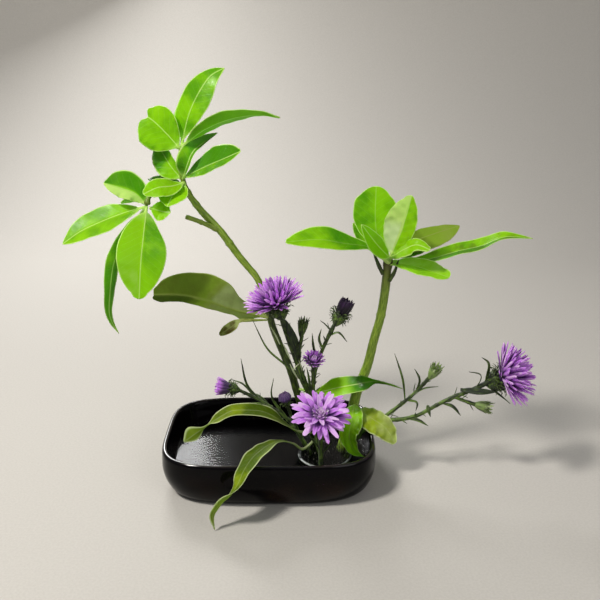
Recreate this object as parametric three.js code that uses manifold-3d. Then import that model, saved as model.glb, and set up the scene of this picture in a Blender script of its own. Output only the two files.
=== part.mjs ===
// An ikebana arrangement: a low black ceramic dish with water, a pin holder (kenzan), two leafy
// branches, loose lower leaves and four aster stems with blooms and buds.
// Millimetres. The origin is the middle of the dish's flat foot, +Z up, +X along the dish's length,
// and the front of the arrangement faces -Y.
import * as THREE from 'three';
import { mergeVertices } from 'three/addons/utils/BufferGeometryUtils.js';
import Module from 'manifold-3d';

const wasm = await Module();
wasm.setup();

// ---------------------------------------------------------------- driving dimensions

const GAP = 0.3;                       // air between pieces that touch

const DISH = {
  length: 194.6,
  depth: 138.4,
  height: 42,
  floor: 6.5,                          // thickness of the bottom
  corner: 4.2,                         // superellipse exponent of the rim's plan
  footCorner: 3.6,
  segments: 36,
};
// Outer wall, foot to rim, and inner wall, rim to floor: [inset from the widest plan, height].
const DISH_OUTSIDE = [[11.5, 0], [7.6, 2.2], [3.2, 10], [0.8, 18], [0, 26], [0.5, 36], [1.2, 40.3]];
const DISH_INSIDE = [
  [2.8, DISH.height], [4.9, 41], [6.2, 37], [8.6, 26], [10.6, 14], [13.8, 8.2], [19, DISH.floor],
];

const WATER_LEVEL = 21;
const WATER_EDGE = [[9.5, WATER_LEVEL], [13.4, 10.4], [19.4, DISH.floor]];

const KENZAN = { x: 51.5, y: 6, radius: 25.5, base: 5.5, pinLength: 8, pinRadius: 0.9, pitch: 6.2 };
const KENZAN_BOTTOM = DISH.floor + GAP;
const KENZAN_TOP = KENZAN_BOTTOM + KENZAN.base;
const STEM_FOOT = KENZAN_TOP + GAP;    // the cut stems stand on the holder's base, among its pins

// ---------------------------------------------------------------- materials

const material = (color, roughness, metalness = 0) =>
  new THREE.MeshStandardMaterial({ color, roughness, metalness });

const MATERIALS = {
  glaze: material(0x0b0a0a, 0.12),
  water: material(0x20262a, 0.03),
  lead: material(0x6d6f72, 0.35, 0.8),
  branch: material(0x6b7a2c, 0.5),
  leaf: material(0x74b81e, 0.35),
  lowLeaf: material(0x7c9a34, 0.45),
  dullLeaf: material(0x6a7038, 0.55),
  asterGreen: material(0x3d5a24, 0.55),
  ray: material(0x9a62cc, 0.5),
  darkRay: material(0x4d2a63, 0.55),
};

// ---------------------------------------------------------------- solids and meshes

const vector = ([x, y, z]) => new THREE.Vector3(x, y, z);
const radians = THREE.MathUtils.degToRad;
const lerp = THREE.MathUtils.lerp;
const GOLDEN_ANGLE = Math.PI * (3 - Math.sqrt(5));

// A repeatable wobble from -1 to 1 for the nth of a set of repeats.
const wobble = (n, salt = 0) => {
  const wave = Math.sin(n * 12.9898 + salt * 78.233) * 43758.5453;
  return 2 * (wave - Math.floor(wave)) - 1;
};

function toSolid(geometry) {
  const bare = geometry.clone();
  bare.deleteAttribute('normal');
  bare.deleteAttribute('uv');
  const merged = mergeVertices(bare, 1e-4);
  return new wasm.Manifold(new wasm.Mesh({
    numProp: 3,
    vertProperties: new Float32Array(merged.attributes.position.array),
    triVerts: new Uint32Array(merged.index.array),
  }));
}

function toGeometry(solid) {
  const mesh = solid.getMesh();
  const geometry = new THREE.BufferGeometry();
  geometry.setAttribute('position', new THREE.BufferAttribute(mesh.vertProperties, 3));
  geometry.setIndex(new THREE.BufferAttribute(mesh.triVerts, 1));
  geometry.computeVertexNormals();
  return geometry;
}

function indexedSolid(points, index) {
  const geometry = new THREE.BufferGeometry();
  geometry.setAttribute('position', new THREE.Float32BufferAttribute(points.flatMap((p) => p.toArray()), 3));
  geometry.setIndex(index);
  return toSolid(geometry);
}

const union = (solids) => solids.reduce((whole, solid) => whole.add(solid));

// The one body that matters after a cut; a scrap that came loose is dropped.
const largest = (solid) =>
  solid.decompose().reduce((best, body) => (body.volume() > best.volume() ? body : best));

const curveThrough = (points) => new THREE.CatmullRomCurve3(points.map(vector), false, 'centripetal');

// Value of a list of evenly spaced numbers at v, 0 to 1.
function along(values, v) {
  const place = v * (values.length - 1);
  const low = Math.min(Math.floor(place), values.length - 2);
  return lerp(values[low], values[low + 1], place - low);
}

// A closed solid from rings of points that all turn anticlockwise seen from the last ring's side.
function loft(rings) {
  const sides = rings[0].length;
  const last = (rings.length - 1) * sides;
  const index = [];
  for (let side = 0; side < sides; side += 1) {
    const next = (side + 1) % sides;
    for (let row = 0; row < last; row += sides) {
      index.push(row + side, row + next, row + sides + next);
      index.push(row + side, row + sides + next, row + sides + side);
    }
  }
  for (let side = 1; side < sides - 1; side += 1) {
    index.push(0, side + 1, side, last, last + side, last + side + 1);
  }
  return indexedSolid(rings.flat(), index);
}

// A round stem, petiole or spike along a curve. radii are spread evenly from its foot to its tip.
function limb(points, radii, { sides = 7, steps = 2 * (points.length - 1), grow = 0 } = {}) {
  const curve = curveThrough(points);
  const frames = curve.computeFrenetFrames(steps, false);
  const rings = [];
  for (let step = 0; step <= steps; step += 1) {
    const centre = curve.getPointAt(step / steps);
    if (grow && step === 0) centre.addScaledVector(frames.tangents[0], -grow);
    if (grow && step === steps) centre.addScaledVector(frames.tangents[steps], grow);
    const radius = along(radii, step / steps) + grow;
    rings.push(Array.from({ length: sides }, (_, side) => {
      const angle = (2 * Math.PI * side) / sides;
      return centre.clone()
        .addScaledVector(frames.normals[step], radius * Math.cos(angle))
        .addScaledVector(frames.binormals[step], radius * Math.sin(angle));
    }));
  }
  return loft(rings);
}

// A thin sheet between two grids of points, both split into triangles alike.
function sheet(top, bottom) {
  const rows = top.length;
  const columns = top[0].length;
  const upper = (row, column) => row * columns + column;
  const lower = (row, column) => rows * columns + upper(row, column);
  const index = [];
  for (let row = 0; row < rows - 1; row += 1) {
    for (let column = 0; column < columns - 1; column += 1) {
      const [r, c] = [row + 1, column + 1];
      index.push(upper(row, column), upper(r, column), upper(r, c));
      index.push(upper(row, column), upper(r, c), upper(row, c));
      index.push(lower(row, column), lower(r, c), lower(r, column));
      index.push(lower(row, column), lower(row, c), lower(r, c));
    }
    const edge = columns - 1;
    index.push(upper(row, 0), lower(row, 0), lower(row + 1, 0));
    index.push(upper(row, 0), lower(row + 1, 0), upper(row + 1, 0));
    index.push(upper(row, edge), lower(row + 1, edge), lower(row, edge));
    index.push(upper(row, edge), upper(row + 1, edge), lower(row + 1, edge));
  }
  const end = rows - 1;
  for (let column = 0; column < columns - 1; column += 1) {
    const c = column + 1;
    index.push(upper(0, column), upper(0, c), lower(0, c));
    index.push(upper(0, column), lower(0, c), lower(0, column));
    index.push(upper(end, column), lower(end, c), upper(end, c));
    index.push(upper(end, column), lower(end, column), lower(end, c));
  }
  return indexedSolid([...top.flat(), ...bottom.flat()], index);
}

// A leaf or petal blade. Its rib runs from root to tip; face is the way its upper side looks.
//   stalk     share of the length that is petiole, stalkWidth wide; tipWidth is the blade's end
//   fullest   1 is widest halfway, below 1 nearer the root, above 1 nearer the tip
//   bluntness below 1 gives round shoulders, above 1 a drawn-out point
//   fold      how far the margins rise over the rib, as a share of the half width
//   twist     degrees that the face turns about the rib, root to tip
//   halves    how wide each side of the rib is, as a share of half the width
//   grow      how much larger the blade is made all round, to cut room for it in a neighbour
function blade(leaf, grow = 0) {
  const {
    rib, width, face, stalk = 0.06, stalkWidth = 2.4, tipWidth = 0.8, fullest = 1, bluntness = 0.8, fold = 0.15,
    twist = 0, halves = [1, 1], thickness = 0.8, rows = 6, columns = 4,
  } = leaf;
  const curve = curveThrough(rib);
  const facing = vector(face).normalize();
  const top = [];
  const bottom = [];
  for (let row = 0; row <= rows; row += 1) {
    const v = row / rows;
    const tangent = curve.getTangentAt(v);
    const normal = facing.clone().projectOnPlane(tangent).normalize();
    normal.applyAxisAngle(tangent, radians(twist * v));
    const side = normal.clone().cross(tangent);
    const centre = curve.getPointAt(v);
    const spread = Math.max(0, (v - stalk) / (1 - stalk));
    const swell = Math.sin(Math.PI * Math.min(spread ** fullest, 1)) ** bluntness;
    const narrow = lerp(stalkWidth, tipWidth, v) / 2;
    const half = Math.max((width / 2) * swell, narrow);
    const upperRow = [];
    const lowerRow = [];
    for (let column = 0; column <= columns; column += 1) {
      const across = (2 * column) / columns - 1;
      const point = centre.clone()
        .addScaledVector(side, across * (half * halves[across < 0 ? 0 : 1] + grow))
        .addScaledVector(normal, half * fold * Math.abs(across));
      upperRow.push(point.clone().addScaledVector(normal, thickness / 2 + grow));
      lowerRow.push(point.addScaledVector(normal, -thickness / 2 - grow));
    }
    top.push(upperRow);
    bottom.push(lowerRow);
  }
  return sheet(top, bottom);
}

// ---------------------------------------------------------------- dish, water and pin holder

// Closed solid of rounded oblong plans, one for each [inset, height].
function oblong(profile, shrink = 0) {
  const { length, depth, corner, footCorner, height, segments } = DISH;
  return loft(profile.map(([inset, z]) => {
    const exponent = 2 / lerp(footCorner, corner, Math.min(z / height, 1));
    return Array.from({ length: segments }, (_, segment) => {
      const angle = (2 * Math.PI * (segment + 0.5)) / segments;
      const [c, s] = [Math.cos(angle), Math.sin(angle)];
      const x = (length / 2 - inset - shrink) * Math.sign(c) * Math.abs(c) ** exponent;
      const y = (depth / 2 - inset - shrink) * Math.sign(s) * Math.abs(s) ** exponent;
      return new THREE.Vector3(x, y, z);
    });
  }));
}

function dish() {
  const lip = DISH_INSIDE[0];
  const inside = [...DISH_INSIDE].reverse();
  return oblong([...DISH_OUTSIDE, lip]).subtract(oblong([...inside, [lip[0], DISH.height + 1]]));
}

function turned(profile, sides, [x, y, z]) {
  const geometry = new THREE.LatheGeometry(profile.map(([r, h]) => new THREE.Vector2(r, h)), sides);
  geometry.rotateX(Math.PI / 2);
  geometry.translate(x, y, z);
  return toSolid(geometry);
}

// The pin holder: a lead disc with a low rolled edge and its pins, but for those inside the stems.
function kenzan(stalks) {
  const { x, y, radius, base, pinLength, pinRadius, pitch } = KENZAN;
  const disc = turned([
    [0, 0], [radius, 0], [radius, base + 0.4], [radius - 1.2, base + 0.4], [radius - 1.6, base], [0, base],
  ], 28, [x, y, KENZAN_BOTTOM]);
  const feet = stalks.map(([points, stemRadius]) => {
    const curve = curveThrough(points);
    const heights = Array.from({ length: 30 }, (_, step) => curve.getPointAt(step / 100));
    const among = heights.filter((p) => p.z > STEM_FOOT - 2 && p.z < KENZAN_TOP + pinLength + 2);
    return { among, reach: stemRadius + pinRadius + 2 * GAP };
  });
  const clear = (px, py) => feet.every(({ among, reach }) =>
    among.every((p) => Math.hypot(px - p.x, py - p.y) > reach));
  const pins = [];
  for (let row = -5; row <= 5; row += 1) {
    for (let column = -5; column <= 5; column += 1) {
      const px = (column + (row % 2 ? 0.5 : 0)) * pitch;
      const py = (row * pitch * Math.sqrt(3)) / 2;
      if (Math.hypot(px, py) < radius - 3 && clear(x + px, y + py)) {
        const pin = new THREE.ConeGeometry(pinRadius, pinLength + 0.5, 4);
        pin.rotateX(Math.PI / 2);
        pin.translate(x + px, y + py, KENZAN_TOP + pinLength / 2 - 0.25);
        pins.push(toSolid(pin));
      }
    }
  }
  return union([disc, ...pins]);
}

// The water: it fills the dish round the pin holder and the stems, which stand in holes through it.
function water(stems) {
  const [floor, ...rest] = [...WATER_EDGE].reverse();
  const body = oblong([[floor[0], floor[1] + GAP], ...rest], GAP);
  const top = KENZAN.base + KENZAN.pinLength + GAP;
  const pocket = turned([
    [0, -1], [KENZAN.radius + GAP, -1], [KENZAN.radius + GAP, top], [0, top],
  ], 28, [KENZAN.x, KENZAN.y, KENZAN_BOTTOM]);
  return largest(stems.reduce((whole, stem) => whole.subtract(stem), body.subtract(pocket)));
}

// ---------------------------------------------------------------- branches

const LEFT_STEM = [
  [46, 13, 6], [41, 14, 31], [33, 16, 48], [19, 23, 92], [3, 30, 131], [-10, 34, 176], [-26, 35, 197],
  [-45, 33, 225], [-63, 30, 247], [-71, 27, 261], [-74, 25, 274], [-73, 24, 299],
];
const LEFT_STEM_RADII = [4.2, 3.9, 3.6, 3.4, 3.2, 3, 3.3, 3.3, 2.6, 2.2];
const LEFT_TWIG = [[-68, 28, 257], [-80, 20, 262], [-91, 12, 263], [-100, 7, 259], [-102, 5, 252]];
const LEFT_STUB = [[-45, 33, 224], [-60, 22, 234], [-70, 14, 240]];

const RIGHT_STEM = [
  [66, 12, 6], [76, 14, 44], [81, 14, 73], [90, 12, 101], [95, 10, 127], [100, 8, 150],
  [103, 6, 176], [104, 4, 196], [105, 4, 209],
];
const RIGHT_STEM_RADII = [5.6, 5.2, 4.9, 4.5, 4.2, 4, 3.9, 4, 3.2];

// Stems are cut level where they stand on the holder.
const cutLevel = (stem, grow) => stem.trimByPlane([0, 0, 1], STEM_FOOT - grow);

const leftBranch = (grow = 0) => cutLevel(union([
  limb(LEFT_STEM, LEFT_STEM_RADII, { sides: 8, steps: 16, grow }),
  limb(LEFT_TWIG, [2.2, 1.8, 1.7, 1.6, 2.3], { sides: 6, steps: 5, grow }),
  limb(LEFT_STUB, [2.6, 2, 2.1], { sides: 6, steps: 3, grow }),
]), grow);

const rightBranch = (grow = 0) =>
  cutLevel(limb(RIGHT_STEM, RIGHT_STEM_RADII, { sides: 8, steps: 14, grow }), grow);

// ---------------------------------------------------------------- leaves

const SMALL = { rows: 6, columns: 2 };

const LEFT_LEAVES = [
  // the shoot's tip
  { rib: [[-73, 24, 299], [-65, 25, 327], [-46, 27, 357], [-35, 30, 363]], width: 27, halves: [1.15, 0.88],
    face: [-0.3, -0.93, 0.2], fold: 0.12, fullest: 1.1, bluntness: 0.85, tipWidth: 3 },
  { rib: [[-74, 24, 297], [-87, 27, 311], [-97, 30, 320], [-105, 33, 324]], width: 38, face: [-0.6, -0.75, 0.4],
    fold: 0.1, bluntness: 0.5, fullest: 1.3, tipWidth: 24 },
  { rib: [[-73, 23, 299], [-51, 12, 315], [-27, 2, 325], [12, -6, 326]], width: 22, face: [0.1, 0.42, 0.9],
    fold: 0.2, tipWidth: 4 },
  // the second whorl
  { rib: [[-73, 24, 274], [-68, 26, 285], [-58, 34, 298], [-44, 44, 308]], width: 17, halves: [0.4, 1.5],
    face: [-0.4, -0.85, 0.3], fold: 0.4, fullest: 0.85, ...SMALL },
  { rib: [[-73, 24, 272], [-52, 8, 284], [-34, -4, 293], [-20, -12, 300]], width: 30, halves: [0.85, 1.25],
    face: [-0.35, -0.5, 0.8], fold: 0.25, bluntness: 0.65, tipWidth: 9 },
  { rib: [[-74, 27, 270], [-84, 31, 281], [-98, 42, 299]], width: 21, halves: [0.8, 1.25],
    face: [-0.5, -0.75, 0.3], fold: 0.3, bluntness: 0.6, tipWidth: 9, ...SMALL },
  { rib: [[-72, 24, 268], [-81, 13, 267], [-92, 6, 267], [-103, -2, 263]], width: 18, halves: [0.9, 1.1],
    face: [-0.15, -0.85, 0.5], fold: 0.1, bluntness: 0.5, fullest: 1.3, tipWidth: 12, ...SMALL },
  { rib: [[-71, 25, 267], [-80, 12, 260], [-84, 0, 252]], width: 24, face: [-0.1, -0.85, 0.5], fold: 0.12,
    bluntness: 0.55, tipWidth: 9, ...SMALL },
  { rib: [[-74, 28, 267], [-92, 33, 268], [-113, 44, 269]], width: 14, face: [0.1, -0.5, 0.85], ...SMALL },
  // the side twig's whorl
  { rib: [[-100, 5, 250], [-91, 6, 247], [-82, 4, 246]], width: 20, face: [0.1, -0.8, 0.6], bluntness: 0.6,
    fullest: 1.2, tipWidth: 9, ...SMALL },
  { rib: [[-102, 6, 252], [-111, 5, 262], [-122, 3, 267], [-136, 0, 272]], width: 26, halves: [1.2, 0.7],
    face: [-0.3, -0.78, 0.55], fold: 0.3, bluntness: 0.6, fullest: 1.15, tipWidth: 9 },
  { rib: [[-103, 4, 251], [-120, -1, 247], [-140, -6, 240], [-156, -10, 233], [-171, -14, 223]], width: 28,
    halves: [1.05, 1.2], face: [-0.15, -0.55, 0.8], fold: 0.2, bluntness: 0.75, tipWidth: 3 },
  { rib: [[-102, 4, 251], [-103, -16, 227], [-104, -27, 209], [-106, -33, 181]], width: 41,
    face: [-0.05, -0.85, 0.5], fold: 0.12, bluntness: 0.66, tipWidth: 12 },
  { rib: [[-103, 6, 250], [-120, 12, 229], [-136, 16, 199], [-145, 19, 149], [-138, 20, 129]], width: 15,
    face: [-0.55, -0.75, 0.3], fold: 0.3, fullest: 0.8, bluntness: 0.9, twist: -20 },
  { rib: [[-102, 6, 252], [-114, 22, 252], [-131, 36, 247]], width: 18, face: [0, 0.3, 0.95], ...SMALL },
].map((leaf) => ({ on: leftBranch, ...leaf }));

const RIGHT_LEAVES = [
  { rib: [[105, 2, 203], [84, -6, 219], [66, -12, 223], [45, -18, 228], [16, -22, 227]], width: 25,
    halves: [1.15, 0.85], face: [0.1, -0.55, 0.84], fold: 0.12, stalk: 0.2, stalkWidth: 7, fullest: 1.1,
    bluntness: 0.7, tipWidth: 6 },
  { rib: [[105, 5, 206], [97, 14, 217], [94, 20, 234], [94, 24, 264]], width: 39, face: [-0.1, -0.96, 0.25],
    fold: 0.1, bluntness: 0.48, fullest: 1.25, tipWidth: 22 },
  { rib: [[106, 2, 207], [111, -4, 225], [120, -12, 264]], width: 32, halves: [0.75, 1],
    face: [-0.2, -0.95, 0.2], fold: 0.3, bluntness: 0.62, twist: 10, tipWidth: 10 },
  { rib: [[106, 2, 206], [93, -13, 222], [78, -26, 243]], width: 18, halves: [0.65, 1.1],
    face: [0.1, -0.85, 0.5], fold: 0.35, bluntness: 0.7, ...SMALL },
  { rib: [[106, 2, 206], [116, -12, 218], [125, -20, 224], [135, -28, 222]], width: 15, face: [0, -0.7, 0.7],
    bluntness: 0.6, tipWidth: 7, ...SMALL },
  { rib: [[107, 5, 205], [128, 20, 216], [150, 32, 221], [173, 44, 225]], width: 30, halves: [1.1, 0.6],
    face: [0, -0.5, 0.86], fold: 0.12, finish: 'dullLeaf' },
  { rib: [[107, 4, 202], [136, 4, 204], [166, 2, 213], [201, -6, 227], [224, -10, 227]], width: 21,
    face: [0, -0.25, 0.97], fold: 0.25 },
  { rib: [[107, 3, 202], [125, -6, 202], [139, -16, 201], [152, -28, 200]], width: 19, face: [0.1, -0.5, 0.86],
    bluntness: 0.6, fullest: 1.3, stalk: 0.12, tipWidth: 12 },
  { rib: [[107, 6, 205], [124, 13, 211], [141, 22, 211]], width: 17, face: [0.1, -0.6, 0.8], ...SMALL },
  { rib: [[105, 6, 205], [89, 30, 215], [76, 44, 228]], width: 22, face: [0.2, -0.6, 0.75], ...SMALL },
].map((leaf) => ({ on: rightBranch, ...leaf }));

const LOW_LEAVES = [
  // the broad leaf behind, seen from below, and its small brown neighbour
  { rib: [[-1, 31, 141], [-34, 26, 151], [-56, 19, 162], [-79, 13, 169], [-103, 7, 171]], width: 34,
    halves: [0.45, 1.6], face: [0.25, 0.92, 0.3], stalk: 0.04, stalkWidth: 5, fold: 0.3, bluntness: 0.55,
    fullest: 1.05, tipWidth: 11, on: leftBranch, finish: 'dullLeaf' },
  { rib: [[0, 30, 139], [-18, 26, 140], [-28, 24, 140], [-35, 22, 135], [-46, 20, 128]], width: 11,
    face: [0, -0.6, 0.8], stalk: 0.55, stalkWidth: 1.2, bluntness: 0.6, tipWidth: 6, on: leftBranch,
    finish: 'dullLeaf', rows: 8, columns: 2 },
  // over the water, and over the front rim down to the table
  { rib: [[40, 13, 31], [25, -7, 44], [14, -13, 54], [-6, -16, 68], [-21, -19, 71], [-33, -21, 71],
    [-45, -23, 65], [-56, -25, 58], [-76, -26, 43]], width: 20, face: [0, 0.1, 1], stalk: 0.2, fullest: 0.75,
    twist: -60, rows: 9, on: leftBranch, finish: 'lowLeaf' },
  { rib: [[42, 12, 25], [36, -4, 27], [30, -14, 29], [21, -28, 43], [10, -40, 51.5], [-1, -52, 53],
    [-12, -66, 50], [-19, -79, 45], [-23, -87, 38], [-30, -91, 29], [-38, -95, 23], [-44, -98, 15],
    [-43, -99.5, 1.4]], width: 22, face: [-0.45, -0.5, 0.75], stalk: 0.3, fullest: 0.8, bluntness: 1.1,
    on: leftBranch, rows: 13, columns: 2, twist: 40, finish: 'lowLeaf' },
  // by the right branch's foot
  { rib: [[26, 19, 74], [44, 12, 74], [62, 2, 83], [80, -5, 90], [97, -9, 95], [120, -12, 89]], width: 20,
    face: [-0.1, -0.6, 0.8], stalk: 0.14, fullest: 0.75, bluntness: 1, twist: 40, on: leftBranch },
  { rib: [[79, 12, 63], [76, -4, 56], [73, -15, 42], [78, -22, 31], [86, -26, 28]], width: 22,
    face: [-0.2, -0.95, 0.2], fullest: 0.68, twist: 30, on: rightBranch },
  { rib: [[80, 12, 57], [94, -4, 55], [106, -11, 49], [115, -15, 35]], width: 22, halves: [1.25, 0.85],
    face: [0.1, -0.75, 0.6], fold: 0.3, bluntness: 0.65, fullest: 0.95, tipWidth: 7, on: rightBranch,
    finish: 'lowLeaf' },
];

// ---------------------------------------------------------------- asters

// Two directions square to an axis.
function squareTo(axis) {
  const first = new THREE.Vector3(0.3, 0.1, 1).projectOnPlane(axis);
  if (first.length() < 0.3) first.set(1, 0, 0).projectOnPlane(axis);
  first.normalize();
  return [first, axis.clone().cross(first)];
}

// The direction at an angle round an axis.
const turn = ([first, second], angle) =>
  first.clone().multiplyScalar(Math.cos(angle)).addScaledVector(second, Math.sin(angle));

// A bloom's or bud's coloured rays on a small core. Each layer has its count of rays, their length and
// width, and how far they lean from the axis at the root and at the tip, in degrees.
function rays({ base, axis, core, layers }) {
  const up = vector(axis).normalize();
  const square = squareTo(up);
  const heart = new THREE.SphereGeometry(core, 8, 4);
  heart.rotateX(Math.PI / 2);
  heart.scale(1, 1, 0.75);
  heart.applyQuaternion(new THREE.Quaternion().setFromUnitVectors(new THREE.Vector3(0, 0, 1), up));
  const middle = vector(base).addScaledVector(up, core * 0.75 + GAP);
  heart.translate(middle.x, middle.y, middle.z);
  const parts = [toSolid(heart)];
  let number = 0;
  layers.forEach(({ count, length, width, lean, tipLean }, layer) => {
    for (let k = 0; k < count; k += 1) {
      number += 1;
      const outward = turn(square, (2 * Math.PI * (k + layer / 2 + 0.2 * wobble(number, 4))) / count);
      const heading = (degrees) => up.clone().multiplyScalar(Math.cos(radians(degrees)))
        .addScaledVector(outward, Math.sin(radians(degrees)));
      const rootLean = lean + 5 * wobble(number, 1);
      const reach = length * (1 + 0.08 * wobble(number, 2));
      const start = middle.clone().addScaledVector(heading(rootLean), core * 0.6);
      const elbow = start.clone().addScaledVector(heading(rootLean), reach * 0.5);
      const tip = elbow.clone().addScaledVector(heading(tipLean + 8 * wobble(number, 3)), reach * 0.5);
      parts.push(blade({
        rib: [start, elbow, tip].map((p) => p.toArray()), width, face: heading(rootLean - 90).toArray(),
        stalk: 0, stalkWidth: width * 0.4, tipWidth: width * 0.45, fullest: 1.4, fold: 0, thickness: 0.7,
        rows: 2, columns: 1,
      }));
    }
  });
  return largest(union(parts));
}

// The green cup under a bloom or bud, with bracts that stand out and curl.
function cup({ base, axis, radius, height, bracts, bractLength }, grow = 0) {
  const up = vector(axis).normalize();
  const square = squareTo(up);
  const at = (share) => vector(base).addScaledVector(up, -height * share).toArray();
  const parts = [limb([at(1), at(0.5), at(0)], [radius * 0.3, radius, radius * 0.95], { sides: 7, steps: 2, grow })];
  for (let k = 0; k < bracts; k += 1) {
    const outward = turn(square, k * GOLDEN_ANGLE);
    const start = vector(at(0.1 + (0.6 * k) / bracts)).addScaledVector(outward, radius * 0.6);
    const tip = start.clone().addScaledVector(outward, radius * 0.4 + bractLength)
      .addScaledVector(up, -0.3 * bractLength);
    parts.push(limb([start, tip].map((p) => p.toArray()), [0.95, 0.4], { sides: 3, steps: 1, grow }));
  }
  return union(parts);
}

const BLOOMS = {
  back: { base: [8, -1, 164], axis: [-0.33, -0.05, 0.94], core: 9, layers: [
    { count: 15, length: 22, width: 4.2, lean: 86, tipLean: 60 },
    { count: 12, length: 24, width: 3.8, lean: 50, tipLean: 38 },
    { count: 6, length: 23, width: 3.6, lean: 20, tipLean: 14 },
  ] },
  front: { base: [46, -34, 72], axis: [0.02, -0.5, 0.87], core: 6, layers: [
    { count: 14, length: 24.5, width: 6.6, lean: 84, tipLean: 92 },
    { count: 10, length: 21, width: 6, lean: 60, tipLean: 64 },
    { count: 6, length: 12, width: 3.6, lean: 30, tipLean: 26 },
  ] },
  right: { base: [211, -11, 99], axis: [0.8, -0.38, 0.47], core: 9, layers: [
    { count: 15, length: 25, width: 4.2, lean: 86, tipLean: 70 },
    { count: 12, length: 25, width: 3.8, lean: 54, tipLean: 44 },
    { count: 6, length: 22, width: 3.6, lean: 22, tipLean: 16 },
  ] },
};

const bud = (base, axis, core, count, length, lean, tipLean, width = 2.6) => ({ base, axis, core, layers: [
  { count, length, width, lean, tipLean },
  { count: Math.ceil(count / 2), length, width, lean: lean * 0.4, tipLean: tipLean * 0.3 },
] });

const BUDS = {
  dark: bud([64, 1, 156], [0.45, -0.05, 0.9], 4.2, 6, 13, 30, -6, 3.6),
  half: bud([40, -5, 113], [0.15, -0.45, 0.88], 4.2, 9, 9, 60, 44),
  left: bud([-36, -5, 86], [-0.9, -0.1, 0.25], 3.6, 6, 11, 34, 30, 3.8),
  low: bud([15, -9, 76], [-0.25, -0.25, 0.93], 3.4, 5, 7, 26, 2),
};

// A leafy aster stem: its stalks, cups, narrow leaves and green buds, all grown together. The main
// stalk comes first, and stands in the holder.
function asterStem({ stalks, cups, leaves }, grow = 0) {
  return cutLevel(union([
    ...stalks.map(([points, ...radii]) => limb(points, radii, { sides: 5, grow, steps: points.length })),
    ...cups.map((one) => cup(one, grow)),
    ...leaves.map(([width, ...points]) => limb(points, [width, width, 0.35], { sides: 3, steps: 3, grow })),
  ]), grow);
}

const cupUnder = ({ base, axis }, radius, height, bracts, bractLength) =>
  ({ base, axis, radius, height, bracts, bractLength });

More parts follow.
